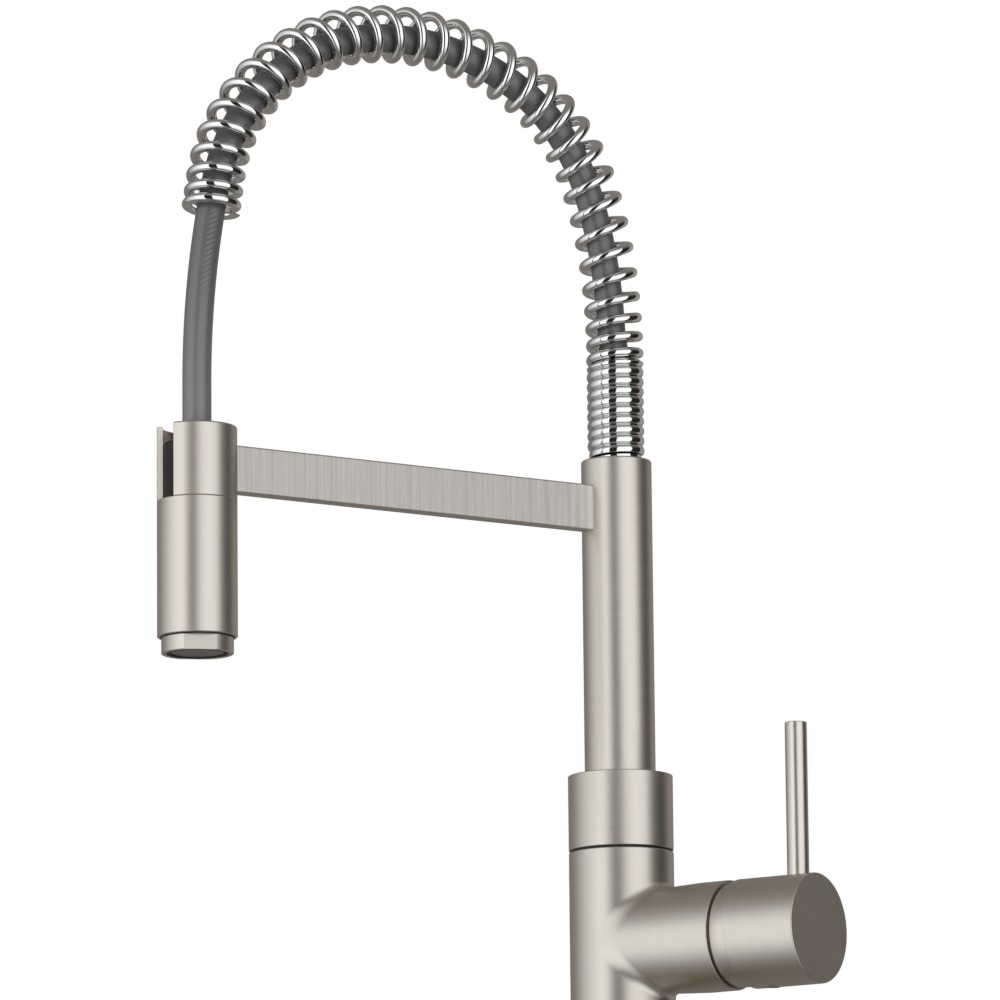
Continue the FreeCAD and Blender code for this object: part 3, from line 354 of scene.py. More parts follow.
def brushed_nickel(name, axis, roughness=NICKEL_ROUGHNESS, contrast=NICKEL_CONTRAST):
    material, tree, shader = new_finish(name, NICKEL_LIGHT, 1.0, roughness)
    dress_brushed(tree, shader, brush_marks(tree, axis), roughness, contrast)
    return material


def belted_nickel(name, axis):
    """Deeper and more uneven lines than a pad leaves."""
    material, tree, shader = new_finish(name, BELT_TINTS[1], 1.0, BELT_ROUGHNESS)
    marks = brush_marks(tree, axis) * 0.5 + brush_lines(tree, axis, BELT_LINES) * 0.5
    dress_brushed(tree, shader, marks, BELT_ROUGHNESS, BELT_CONTRAST, BELT_TINTS)
    return material


temperature_turn = next(joint for joint in frame["joints"] if joint["name"] == "temperature_turn")
branch_out = Vector(temperature_turn["axis"]).normalized()
branch_side = UP.cross(branch_out)
pivot = Vector(temperature_turn["pos_m"])
ALONG_SPOUT = Vector((0, 1, 0))

nickel_upright = brushed_nickel("nickel_brushed_upright", UP)
nickel_branch = brushed_nickel("nickel_brushed_branch", branch_out)
nickel_lever = brushed_nickel("nickel_brushed_lever", UP, LEVER_ROUGHNESS, LEVER_CONTRAST)
nickel_arm = belted_nickel("nickel_brushed_arm", ALONG_SPOUT)
print("branch points along", [round(part, 3) for part in branch_out])

# %% [markdown]
# The mixer body is one casting, but it is brushed twice: round the upright and round
# the branch. A mask by the distance from the column axis changes from one set of
# lines to the other, where the polisher's pad had to change direction too.

# %% The body's two brush directions
BRUSH_CHANGE = (1 * MM, 9 * MM)         # outside the upright


def radius_of(node):
    low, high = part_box(node)
    return (high.x - low.x) / 2


BODY_RADIUS = radius_of("swivel_collar")


def two_way_nickel(name):
    material, tree, shader = new_finish(name, NICKEL_LIGHT, 1.0, NICKEL_ROUGHNESS)
    place = object_place(tree)
    outside = place.vector("MULTIPLY", (1, 1, 0)).length() - BODY_RADIUS
    on_branch = outside.step(*BRUSH_CHANGE)
    upright = brush_marks(tree, UP)
    marks = upright + (brush_marks(tree, branch_out) - upright) * on_branch
    dress_brushed(tree, shader, marks, NICKEL_ROUGHNESS, NICKEL_CONTRAST)
    return material


nickel_body = two_way_nickel("nickel_brushed_body")
print("body radius", round(BODY_RADIUS / MM, 2), "mm")

# %% [markdown]
# ## The other finishes
# The spring and its guide are polished chrome, which needs little but a low
# roughness and a trace of haze. Hidden pieces get cast brass, zinc-plated steel, white
# ceramic and plain plastics, each with a little noise, so that nothing is one flat
# colour when the tap is taken apart. The hose has a finish of its own, further down.

# %% Chrome, rubber, brass and plastics


def speckled(name, dark, light, metallic, roughness, grain, bump=0.0, gloss=0.5):
    """A finish whose tint, gloss and surface vary with a fine noise."""
    material, tree, shader = new_finish(name, (*light, 1), metallic, roughness)
    shader.inputs["Specular IOR Level"].default_value = gloss
    grains = noise(tree, object_place(tree).scaled(grain), 4.0)
    tree.links.new(grains.mixed((*dark, 1), (*light, 1)).socket, shader.inputs["Base Color"])
    tree.links.new((grains * 0.2 * roughness + roughness * 0.9).socket, shader.inputs["Roughness"])
    if bump:
        sockets = {"Strength": 0.4, "Distance": bump, "Height": grains}
        relief = Signal.node(tree, "ShaderNodeBump", {}, sockets)
        tree.links.new(relief.socket, shader.inputs["Normal"])
    return material


chrome = speckled("chrome_polished", (0.717, 0.725, 0.733), (0.787, 0.795, 0.803), 1.0, 0.035, 60)
black_plastic = speckled(
    "plastic_black", (0.018, 0.014, 0.010), (0.030, 0.024, 0.018), 0.0, 0.5, 2500, gloss=0.25)
rubber = speckled("rubber_black", (0.014, 0.014, 0.014), (0.028, 0.028, 0.028), 0.0, 0.65, 1800, 2e-5)
brass = speckled("brass_machined", (0.60, 0.43, 0.19), (0.75, 0.56, 0.27), 1.0, 0.3, 700, 2e-5)
steel = speckled("steel_plated", (0.50, 0.50, 0.50), (0.62, 0.62, 0.62), 1.0, 0.3, 900, 1e-5)
ceramic = speckled("ceramic_lapped", (0.80, 0.79, 0.75), (0.88, 0.87, 0.83), 0.0, 0.2, 1200)
white_plastic = speckled("plastic_white", (0.72, 0.72, 0.69), (0.80, 0.80, 0.77), 0.0, 0.45, 1500, 1e-5)
grey_plastic = speckled("plastic_grey", (0.16, 0.17, 0.175), (0.22, 0.23, 0.235), 0.0, 0.35, 1500, 1e-5)

SLOT_FINISH = {
    "brushed_nickel": nickel_upright, "chrome": chrome, "hose_grey": grey_plastic,
    "black_plastic": black_plastic, "white_plastic": white_plastic, "grey_plastic": grey_plastic,
    "ceramic": ceramic, "brass": brass, "steel": steel, "rubber": rubber}
node_slot = {part["node"]: part["material_slot"] for part in frame["record"]["subparts"]}
for node, slot in node_slot.items():
    solid = frame["nodes"][node]
    solid.data.materials.clear()
    solid.data.materials.append(SLOT_FINISH[slot])
print("finishes:", len(bpy.data.materials))

# %% [markdown]
# ## Building a shell with exact normals
# Polished metal shows every wobble in its shading. The Bevel modifier with Weighted
# Normal is one cure. The pieces here are turned on a lathe, so their true normals are
# known: each face is written with the normal of the real surface at its corners, and
# the mesh keeps them as custom normals. Corners that meet are welded, so it is closed.

# %% Shells and lathe work
WELD = 1e-6
FINE_COLUMNS = 192


def shell(name, faces, material, node=None):
    """A piece from faces, each a list of (place, normal) corners."""
    numbers = {}
    places = []
    polygons = []
    normals = []
    for face in faces:
        ring = {}
        for place, normal in face:
            key = tuple(round(part / WELD) for part in place)
            if key not in numbers:
                numbers[key] = len(places)
                places.append(tuple(place))
            ring.setdefault(numbers[key], tuple(normal))
        if len(ring) > 2:
            polygons.append(list(ring))
            normals.extend(ring.values())
    mesh = bpy.data.meshes.new(name)
    mesh.from_pydata(places, [], polygons)
    mesh.shade_smooth()
    mesh.normals_split_custom_set(normals)
    mesh.materials.append(material)
    piece = bpy.data.objects.new(name, mesh)
    bpy.context.scene.collection.objects.link(piece)
    if node:
        seat(piece, node)
    return piece


def seat(piece, node):
    """Lets a piece stand for a solid and move with that solid's body."""
    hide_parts(node)
    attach(piece, frame["nodes"][node]["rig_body"])


def outline(corners, closed=True, steps=5):
    """Stations of an outline: (radius, height, normal before, normal after).

    A corner is (radius, height, rounding). A fourth value is the centre of an arc
    that runs from this corner to the next."""
    runs = []
    count = len(corners)
    for index in range(count if closed else count - 1):
        start = Vector(corners[index][:2])
        end = Vector(corners[(index + 1) % count][:2])
        if len(corners[index]) > 3:
            runs.append(arc_run(start, end, Vector(corners[index][3])))
        else:
            way = (end - start).normalized()
            normal = Vector((way.y, -way.x))
            runs.append([(start, normal), (end, normal)])
    stations = []
    for index, corner in enumerate(corners):
        before = runs[index - 1] if closed or index else None
        after = runs[index] if index < len(runs) else None
        stations += corner_stations(Vector(corner[:2]), corner[2], before, after, steps)
        if after and len(after) > 2:
            stations += [(*place, normal, normal) for place, normal in after[1:-1]]
    return stations


def arc_run(start, end, centre, steps=24):
    """Points and outward normals along an arc about a centre."""
    first = math.atan2(*reversed(start - centre))
    turn = math.remainder(math.atan2(*reversed(end - centre)) - first, 2 * math.pi)
    radius = (start - centre).length
    side = 1 if turn > 0 else -1
    points = []
    for step in range(steps + 1):
        angle = first + turn * step / steps
        spoke = Vector((math.cos(angle), math.sin(angle)))
        points.append((centre + spoke * radius, spoke * side))
    return points


def corner_stations(place, rounding, before, after, steps):
    """One station for a sharp corner or an end, several for a rounded corner."""
    if not before or not after:
        normal = (after or before)[0 if after else -1][1]
        return [(*place, normal, normal)]
    normal_in, normal_out = before[-1][1], after[0][1]
    turn = math.atan2(normal_in.cross(normal_out), normal_in.dot(normal_out))
    if not rounding or abs(turn) < 0.01:
        return [(*place, normal_in, normal_out)]
    setback = rounding * math.tan(abs(turn) / 2)
    way_in = Vector((-normal_in.y, normal_in.x))
    side = 1 if turn > 0 else -1
    centre = place - way_in * setback - normal_in * rounding * side
    stations = []
    for step in range(steps + 1):
        angle = turn * step / steps
        normal = Vector((normal_in.x * math.cos(angle) - normal_in.y * math.sin(angle),
                         normal_in.x * math.sin(angle) + normal_in.y * math.cos(angle)))
        stations.append((*(centre + normal * rounding * side), normal, normal))
    return stations


def strips(stations, cuts, corner, closed=True):
    """Faces between neighbouring stations and cuts; corner gives a place and a normal."""
    faces = []
    pairs = list(zip(stations, stations[1:] + stations[:1]))
    for low, high in pairs if closed else pairs[:-1]:
        for near, far in zip(cuts, cuts[1:]):
            faces.append([corner(low, low[3], near), corner(low, low[3], far),
                          corner(high, high[2], far), corner(high, high[2], near)])
    return faces


def turned(stations, origin, axis, first, closed=True, columns=FINE_COLUMNS):
    """Faces of an outline turned about an axis; first is the direction of angle 0."""
    origin, axis, first = Vector(origin), Vector(axis), Vector(first)
    second = axis.cross(first)
    angles = [2 * math.pi * column / columns for column in range(columns + 1)]
    spokes = [first * math.cos(angle) + second * math.sin(angle) for angle in angles]

    def corner(station, normal, spoke):
        place = origin + spoke * max(station[0], 0) + axis * station[1]
        return place, spoke * normal.x + axis * normal.y

    return strips(stations, spokes, corner, closed)


def lathe(name, node, material, corners, centre=(0, 0), closed=True, columns=FINE_COLUMNS):
    """A piece turned about an upright axis; heights are above the worktop."""
    stations = outline(corners, closed)
    faces = turned(stations, (*centre, 0), UP, (1, 0, 0), closed, columns)
    return shell(name, faces, material, node)


print("lathe ready, columns:", FINE_COLUMNS)

# %% [markdown]
# ## Collar, column and lever
# These are the plain turned pieces: a thick swivel collar, the tube that carries the
# spring, and the lever. A cylinder primitive would have razor edges, and an edge
# without a small round never catches light. The outlines carry each edge's round.

# %% Turned nickel pieces
EDGE = 0.45 * MM
HIDDEN = 0.15 * MM              # round of an edge that no one sees
COLUMN_EDGE = 1.0 * MM
COLUMN_WALL = 1.75 * MM
COLLAR_LIP = 1.0 * MM           # carries the column's lower end
FIT = 0.05 * MM
LEVER_COLUMNS = 96

collar_low, collar_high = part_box("swivel_collar")
column_low, column_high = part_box("column")
column_radius = radius_of("column")
column_bore = column_radius - COLUMN_WALL
collar_bore = column_radius - COLLAR_LIP
collar_socket = column_radius + FIT
lathe("collar_shell", "swivel_collar", nickel_upright, [
    (collar_bore, collar_low.z, HIDDEN), (BODY_RADIUS, collar_low.z, EDGE),
    (BODY_RADIUS, collar_high.z, EDGE), (collar_socket, collar_high.z, HIDDEN),
    (collar_socket, column_low.z, HIDDEN), (collar_bore, column_low.z, HIDDEN)])
lathe("column_tube", "column", nickel_upright, [
    (column_bore, column_low.z, HIDDEN), (column_radius, column_low.z, HIDDEN),
    (column_radius, column_high.z, COLUMN_EDGE), (column_bore, column_high.z, HIDDEN)])

lever_low, lever_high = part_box("lever_rod")
lever_radius = radius_of("lever_rod")
lever_centre = (lever_low + lever_high).xy / 2
lathe("lever_bar", "lever_rod", nickel_lever, [
    (0, lever_low.z, 0), (lever_radius, lever_low.z, HIDDEN), (lever_radius, lever_high.z, EDGE),
    (0, lever_high.z, 0)], lever_centre, closed=False, columns=LEVER_COLUMNS)
print("radii in mm: column", round(column_radius / MM, 2), "lever", round(lever_radius / MM, 2))

# %% [markdown]
# ## The mixer body
# The upright and the branch are one casting that flows together in a small round.
# A Boolean with a bevel leaves ragged shading exactly where the eye goes. Instead one
# grid of rays covers it: each ray starts at the mouth of the branch, runs back along
# it, bends round the junction and goes on over the unrolled upright to its rim.

# %% Upright and branch as one grid
RAYS = 240
FLARE_LENGTH = 45 * MM
ROOT_INSET = 1 * MM
JUNCTION_ROUND = 3.8 * MM
JUNCTION_EASE = 4.5 * MM        # more at the sides, where the two nearly touch
JUNCTION_PULL = 0.58            # how long the round's curve keeps to its two ends
JUNCTION_STEPS = 12
BRANCH_STEPS = 4
UPRIGHT_STEPS = 24
UPRIGHT_CROWDING = 1.4          # crowds those steps towards the junction
CARTRIDGE_FLOOR = 34 * MM
CARTRIDGE_SHOULDER = 52 * MM
CARTRIDGE_BORE = 17.85 * MM
RETAINER_BORE = 20.95 * MM
SPIGOT_BORE = (12.05 * MM, 14 * MM)      # radius and depth at the top
SHANK_SOCKET = (16.05 * MM, 12 * MM)     # radius and depth at the bottom


def reach(node, direction):
    """Least and greatest distance of a solid along a direction."""
    distances = [vertex.co.dot(direction) for vertex in frame["nodes"][node].data.vertices]
    return min(distances), max(distances)


branch_end = reach("mixer_body", branch_out)[1]
branch_radius = reach("handle_cap", branch_side)[1]
body_low, body_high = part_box("mixer_body")


def flare_radius(distance):
    root = BODY_RADIUS - ROOT_INSET
    return root + (branch_radius - root) * min(distance / FLARE_LENGTH, 1)


def junction(angle):
    """Distance out, unrolled place and height where a branch line meets the upright."""
    distance = 0
    for _ in range(40):
        across = flare_radius(distance) * math.cos(angle)
        distance = math.sqrt(BODY_RADIUS ** 2 - across ** 2)
    radius = flare_radius(distance)
    unrolled = BODY_RADIUS * math.asin(radius * math.cos(angle) / BODY_RADIUS)
    return distance, unrolled, radius * math.sin(angle)


def ray_towards(slope):
    """The angle of the ray whose junction lies at a slope on the unrolled upright."""
    low, high = 0.001, math.pi / 2 - 0.001
    for _ in range(60):
        middle = (low + high) / 2
        distance, unrolled, height = junction(middle)
        if math.atan2(height, unrolled) < slope:
            low = middle
        else:
            high = middle
    return low


def ray_angles(top, bottom):
    """Even angles, with rays that meet the corners of the unrolled upright."""
    half_round = math.pi * BODY_RADIUS
    upper = ray_towards(math.atan2(top, half_round))
    lower = ray_towards(math.atan2(-bottom, half_round))
    even = [2 * math.pi * (step + 0.5) / RAYS for step in range(RAYS)]
    return sorted(even + [upper, math.pi - upper, math.pi + lower, 2 * math.pi - lower])


def branch_point(distance, radius, angle):
    """A point in the branch's own axes: out, to the side and up."""
    return Vector((distance, radius * math.cos(angle), radius * math.sin(angle)))


def upright_out(unrolled):
    """The upright's outward direction at an unrolled place."""
    turn = unrolled / BODY_RADIUS
    return Vector((math.cos(turn), math.sin(turn), 0))


def upright_point(unrolled, height):
    return upright_out(unrolled) * BODY_RADIUS + UP * height


def mouth_stations(angle):
    """The cartridge bore, the branch's end face and its rounded rim."""
    corners = [(CARTRIDGE_BORE, CARTRIDGE_FLOOR, 0), (CARTRIDGE_BORE, CARTRIDGE_SHOULDER, 0),
               (RETAINER_BORE, CARTRIDGE_SHOULDER, 0), (RETAINER_BORE, branch_end, HIDDEN),
               (branch_radius, branch_end, EDGE), (branch_radius, FLARE_LENGTH, 0)]
    stations = []
    mirrored = [(radius, -distance, rounding) for radius, distance, rounding in corners]
    for radius, distance, before, after in outline(mirrored, closed=False):
        normals = [branch_point(-normal.y, normal.x, angle) for normal in (before, after)]
        stations.append((branch_point(-distance, radius, angle), *normals))
    return stations


def smooth(place, normal):
    return place, normal, normal


def body_ray(angle, top, bottom):
    """Stations from the branch's mouth to the upright's edge, and which edge it is."""
    distance, unrolled, height = junction(angle)
    stations = mouth_stations(angle)
    out = branch_point(0, 1, angle)
    crease = math.acos(max(-1, min(1, out.dot(upright_out(unrolled)))))
    setback = JUNCTION_ROUND * math.tan(crease / 2) + JUNCTION_EASE * math.cos(angle) ** 2
    for step in range(1, BRANCH_STEPS + 1):
        place = FLARE_LENGTH + (distance + setback - FLARE_LENGTH) * step / BRANCH_STEPS
        stations.append(smooth(branch_point(place, flare_radius(place), angle), out))
    shares = {"side": math.pi * BODY_RADIUS / max(abs(unrolled), 1e-9),
              "top": top / height if height > 0 else math.inf,
              "bottom": bottom / height if height < 0 else math.inf}
    limit = min(shares.values())
    edges = {edge for edge, share in shares.items() if share < limit * (1 + 1e-6)}
    first = 1 + setback / math.hypot(unrolled, height)
    begin = stations[-1][0]
    end = upright_point(unrolled * first, height * first)
    further = upright_point(unrolled * (first + 0.001), height * (first + 0.001))
    pull = JUNCTION_PULL * setback
    curve = [begin, begin - Vector((pull, 0, 0)), end - (further - end).normalized() * pull, end]
    for step in range(1, JUNCTION_STEPS):
        share = step / JUNCTION_STEPS
        rest = 1 - share
        weights = [rest ** 3, 3 * share * rest ** 2, 3 * share ** 2 * rest, share ** 3]
        place = sum((point * weight for point, weight in zip(curve, weights)), Vector((0, 0, 0)))
        normal = out.lerp(upright_out(unrolled * first), share).normalized()
        stations.append(smooth(place, normal))
    for step in range(UPRIGHT_STEPS + 1):
        share = first + (limit - first) * (step / UPRIGHT_STEPS) ** UPRIGHT_CROWDING
        place = upright_point(unrolled * share, height * share)
        stations.append(smooth(place, upright_out(unrolled * share)))
    return stations, edges, unrolled * limit


def blend_normals(grid, first, last):
    """Normals of the junction's stations from the grid itself."""
    places = np.array([[station[0] for station in ray] for ray in grid])
    along = np.gradient(places, axis=1)
    around = (np.roll(places, -1, axis=0) - np.roll(places, 1, axis=0)) / 2
    normals = np.cross(around, along)
    normals /= np.linalg.norm(normals, axis=2, keepdims=True)
    for number, ray in enumerate(grid):
        for index in range(first, last):
            normal = Vector(normals[number, index])
            if normal.dot(ray[index][1]) < 0:
                normal = -normal
            ray[index] = smooth(ray[index][0], normal)


def edge_faces(unrolled_ends, height, side, bore, depth):
    """The rounded edge, end face and bore at the upright's top or bottom."""
    inner_height = height - side * depth
    corners = [(BODY_RADIUS, height - side * EDGE, 0), (BODY_RADIUS, height, EDGE),
               (bore, height, HIDDEN), (bore, inner_height, 0), (0, inner_height, 0)]
    if side < 0:
        corners = [(radius, -place, rounding) for radius, place, rounding in corners]
    stations = outline(corners, closed=False)
    if side < 0:
        stations = [(r, -h, Vector((a.x, -a.y)), Vector((b.x, -b.y))) for r, h, a, b in stations]

    def corner(station, normal, unrolled):
        spoke = upright_out(unrolled)
        return spoke * station[0] + UP * station[1], spoke * normal.x + UP * normal.y

    faces = strips(stations, unrolled_ends, corner, closed=False)
    return faces if side > 0 else [face[::-1] for face in faces]


def from_branch(vector):
    """From the directions of the branch to those of the tap."""
    return branch_out * vector.x + branch_side * vector.y + UP * vector.z


def mixer_body_shell():
    top = body_high.z - pivot.z - EDGE
    bottom = body_low.z - pivot.z + EDGE
    rays = [body_ray(angle, top, bottom) for angle in ray_angles(top, bottom)]
    grid = [ray[0] for ray in rays]
    junction_first = len(mouth_stations(0)) + BRANCH_STEPS
    blend_normals(grid, junction_first, junction_first + JUNCTION_STEPS - 1)
    faces = []
    for near, far in zip(grid, grid[1:] + grid[:1]):
        for start, end in zip(zip(near, near[1:]), zip(far, far[1:])):
            faces.append([(start[0][0], start[0][2]), (start[1][0], start[1][1]),
                          (end[1][0], end[1][1]), (end[0][0], end[0][2])])
    faces.append([(ray[0][0], Vector((1, 0, 0))) for ray in grid])
    tops = sorted(end for stations, edges, end in rays if "top" in edges)
    bottoms = sorted(end for stations, edges, end in rays if "bottom" in edges)
    faces += edge_faces(tops, body_high.z - pivot.z, 1, *SPIGOT_BORE)
    faces += edge_faces(bottoms, body_low.z - pivot.z, -1, *SHANK_SOCKET)
    middle = UP * pivot.z
    placed = []
    for face in faces:
        placed.append([(middle + from_branch(place), from_branch(normal)) for place, normal in face])
    return shell("mixer_body_shell", placed, nickel_body, "mixer_body")


body_shell = mixer_body_shell()
print("mixer body faces:", len(body_shell.data.polygons))

# %% [markdown]
# ## Dome, cap and screw cover
# The handle is a round cap that tilts on a ball-shaped trim ring, so the ring is a
# zone of a sphere about the tilt axis and the cap is hollow round it. The cap's rim is
# cut at a slant: it leaves room below, where the cap swings inwards as the lever opens.

# %% Handle pieces on the branch axis
DOME_RADIUS = 23.9 * MM
DOME_CLEARANCE = 0.4 * MM
DOME_BORE = 17.25 * MM
SKIRT_RADIUS = 20.9 * MM
CAP_EDGE = 0.65 * MM
CAP_RIM = (5.0 * MM, 10.0 * MM)       # past the middle of the seam, above and below
CAP_RIM_EDGE = 0.25 * MM
SEAM_WIDTH = 1.0 * MM
COVER_RISE = 0.12 * MM
COVER_EDGE = 0.1 * MM
COVER_DEPTH = 2 * MM
COVER_COLUMNS = 48

pivot_out = pivot.dot(branch_out)
dome_start, dome_end = reach("cartridge_dome", branch_out)
cap_end = reach("handle_cap", branch_out)[1]
seam_end = branch_end + SEAM_WIDTH
seam_middle = branch_end + SEAM_WIDTH / 2


def dome_radius_at(distance, radius=DOME_RADIUS):
    return math.sqrt(radius ** 2 - (distance - pivot_out) ** 2)


def on_branch(corners, closed=True):
    return turned(outline(corners, closed), UP * pivot.z, branch_out, UP, closed)


dome_corners = [
    (DOME_BORE, dome_start, 0), (SKIRT_RADIUS, dome_start, 0), (SKIRT_RADIUS, seam_end, 0),
    (dome_radius_at(seam_end), seam_end, 0, (0, pivot_out)),
    (dome_radius_at(dome_end), dome_end, 0), (DOME_BORE, dome_end, 0)]
shell("dome_ring", on_branch(dome_corners), nickel_branch, "cartridge_dome")

hollow_radius = DOME_RADIUS + DOME_CLEARANCE
rim_middle = seam_middle + sum(CAP_RIM) / 2
rim_slope = (CAP_RIM[1] - CAP_RIM[0]) / (2 * branch_radius)
cap_corners = [
    (0, pivot_out + hollow_radius, 0, (0, pivot_out)),
    (dome_radius_at(rim_middle, hollow_radius), rim_middle, 0),
    (branch_radius, rim_middle, CAP_RIM_EDGE), (branch_radius, cap_end, CAP_EDGE), (0, cap_end, 0)]


def slanted(face):
    """Moves the rim's corners along the branch so that the rim lies on a slant."""
    corners = []
    for place, normal in face:
        if place.dot(branch_out) < rim_middle + 2 * CAP_RIM_EDGE:
            place = place - branch_out * rim_slope * (place.z - pivot.z)
        corners.append((place, normal))
    return corners


cap_faces = [slanted(face) for face in on_branch(cap_corners, closed=False)]
shell("cap_shell", cap_faces, nickel_branch, "handle_cap")

cover_low, cover_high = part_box("screw_cover")
cover_radius = radius_of("screw_cover")
cover_face = branch_radius + COVER_RISE
cover_stations = outline([
    (0, branch_radius - COVER_DEPTH, 0), (cover_radius, branch_radius - COVER_DEPTH, 0),
    (cover_radius, cover_face, COVER_EDGE), (0, cover_face, 0)], closed=False)
cover_centre = (*(cover_low + cover_high).xy / 2, pivot.z)
cover_faces = turned(cover_stations, cover_centre, -UP, branch_out, False, COVER_COLUMNS)
shell("cover_button", cover_faces, SLOT_FINISH[node_slot["screw_cover"]], "screw_cover")
print("cap", round((cap_end - rim_middle) / MM, 1), "mm long, rim slope", round(rim_slope, 3))

# %% [markdown]
# ## The arch
# Hose and spring follow one arch: a straight rise and five arcs that meet without a
# kink, down to the spray head. The arcs' radii and turns are the tap's own sizes, and
# the crown's radius follows from the distance between column and spray head.

# %% The arch's line
GUIDE_TOP = 322.1 * MM
ARCH_START = 327.0 * MM
NUDGE = 0.1 * MM                # of travel, to find the arch's direction
# Radius and turn in degrees of each arc; the crown's radius is worked out
ARCH_ARCS = [(208.6 * MM, 21.7), (84.9 * MM, 41.9), (None, 37.9), (100.2 * MM, 66.1),
             (430.8 * MM, 12.4)]
spray_low, spray_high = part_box("spray_body")
SPOUT_REACH = -(spray_low.y + spray_high.y) / 2


def across(start, end):
    return math.cos(math.radians(start)) - math.cos(math.radians(end))


def arch_arcs():
    """Radius, first heading and turn of each arc, the crown's radius worked out."""
    heading = 0
    arcs = []
    for radius, turn in ARCH_ARCS:
        arcs.append([radius, heading, turn])
        heading += turn
    known = sum(radius * across(start, start + turn) for radius, start, turn in arcs if radius)
    crown = next(arc for arc in arcs if not arc[0])
    crown[0] = (SPOUT_REACH - known) / across(crown[1], crown[1] + crown[2])
    return arcs


def arch_point(travel, arcs=arch_arcs()):
    """The place at a travel past the start of the first arc; negative is below it."""
    place = Vector((0, 0, ARCH_START))
    if travel <= 0:
        return place + UP * travel
    for radius, start, turn in arcs:
        length = radius * math.radians(turn)
        part = min(travel, length)
        end = start + math.degrees(part / radius)
        rise = math.sin(math.radians(end)) - math.sin(math.radians(start))
        place = place + Vector((0, -radius * across(start, end), radius * rise))
        travel -= part
        if travel <= 0:
            return place
    return place - UP * travel


arc_lengths = [radius * math.radians(turn) for radius, start, turn in arch_arcs()]
arch_length = sum(arc_lengths)
print("arch", round(arch_length / MM, 1), "mm, crown radius", round(arch_arcs()[2][0] / MM, 1), "mm")

# %% [markdown]
# ## Shapes that follow a rule
# A spring, a ridged sleeve and a thread are rules: so far along, so far round. The
# Screw modifier makes a straight spring only. Geometry Nodes can bend one along any
# line and change its pitch on the way, and its sizes stay as named inputs. These
# helpers start a tree with such inputs, make tubes and turn the result into a plain mesh.

# %% Helpers for rule-made shapes


def shape_tree(name, labels):
    """A geometry tree with named number inputs, as signals."""
    tree = bpy.data.node_groups.new(name, "GeometryNodeTree")
    tree.interface.new_socket("Geometry", in_out="INPUT", socket_type="NodeSocketGeometry")
    tree.interface.new_socket("Geometry", in_out="OUTPUT", socket_type="NodeSocketGeometry")
    for label in labels:
        tree.interface.new_socket(label, in_out="INPUT", socket_type="NodeSocketFloat")
    source = tree.nodes.new("NodeGroupInput")
    return tree, {label: Signal(tree, source.outputs[label]) for label in ["Geometry", *labels]}


def even_line(tree, size):
    """The seed's line as a curve with evenly spaced points."""
    line = Signal.node(tree, "GeometryNodeMeshToCurve", {}, {"Mesh": size["Geometry"]})
    sockets = {"Curve": line, "Count": size["Steps"]}
    return Signal.node(tree, "GeometryNodeResampleCurve", {}, sockets)


def section_circle(tree, sides, radius):
    sockets = {"Resolution": sides, "Radius": radius}
    return Signal.node(tree, "GeometryNodeCurvePrimitiveCircle", {}, sockets)


def tube(tree, line, section):
    sockets = {"Curve": line, "Profile Curve": section, "Fill Caps": True}
    return Signal.node(tree, "GeometryNodeCurveToMesh", {}, sockets)


def end_tree(tree, geometry, material):
    rounded = Signal.node(tree, "GeometryNodeSetShadeSmooth", {}, {"Geometry": geometry})
    realised = Signal.node(tree, "GeometryNodeRealizeInstances", {}, {"Geometry": rounded})
    sockets = {"Geometry": realised, "Material": material}
    finished = Signal.node(tree, "GeometryNodeSetMaterial", {}, sockets)
    target = tree.nodes.new("NodeGroupOutput")
    tree.links.new(finished.socket, target.inputs["Geometry"])


def grown(name, tree, values, line=()):
    """The tree's result on a line of points, as a plain mesh."""
    mesh = bpy.data.meshes.new(name)
    links = [(index, index + 1) for index in range(len(line) - 1)]
    mesh.from_pydata([tuple(place) for place in line], links, [])
    seed = bpy.data.objects.new("seed", mesh)
    bpy.context.scene.collection.objects.link(seed)
    modifier = seed.modifiers.new("shape", "NODES")
    modifier.node_group = tree
    for socket in tree.interface.items_tree:
        if socket.in_out == "INPUT" and socket.name in values:
            modifier[socket.identifier] = float(values[socket.name])
    evaluated = seed.evaluated_get(bpy.context.evaluated_depsgraph_get())
    result = bpy.data.meshes.new_from_object(evaluated)
    seed.modifiers.remove(modifier)
    bpy.data.objects.remove(seed)
    result.name = name
    finish = next(material for material in result.materials if material)
    result.materials.clear()
    result.materials.append(finish)
    result.polygons.foreach_set("material_index", [0] * len(result.polygons))
    piece = bpy.data.objects.new(name, result)
    bpy.context.scene.collection.objects.link(piece)
    return piece


print("rule-made shapes ready")

# %% [markdown]
# ## The support spring
# Chromed wire stands round the hose: tight at the guide, open over the crown, and
# almost closed at the free end. A table of pitches says how the turns open and close.
# The tree adds up how far the wire has turned at each step of the arch, moves each
# point out by the coil's radius and gives the line a round section. The hose rests on
# the inside of the coil, so over the crown the whole coil hangs a little outside it.
# The wire starts behind the guide, and its free end is ground flat, as springs are.

# %% A coil with a changing pitch
COIL_RADIUS = 11 * MM
WIRE_RADIUS = 2.3 * MM
SPRING_TAIL = 14.7 * MM         # of the last arc is still inside the spring
SPRING_LEAD = WIRE_RADIUS + 0.3 * MM
SPRING_STEPS = 2700
WIRE_SIDES = 20
FIRST_PHASE = math.radians(20)
START_TURN = math.radians(130)  # of extra wire that hides the spring's start behind the guide
END_TURN = math.radians(-8)
START_TIP = 0.3 * MM            # of arch over which the wire's start is rounded
TIP_SHARE = 0.15                # of that rounding is left blunt
GRIND = 0.85 * WIRE_RADIUS      # of the wire's tip is ground away, so that the end is flat
GRIND_REACH = 40 * MM
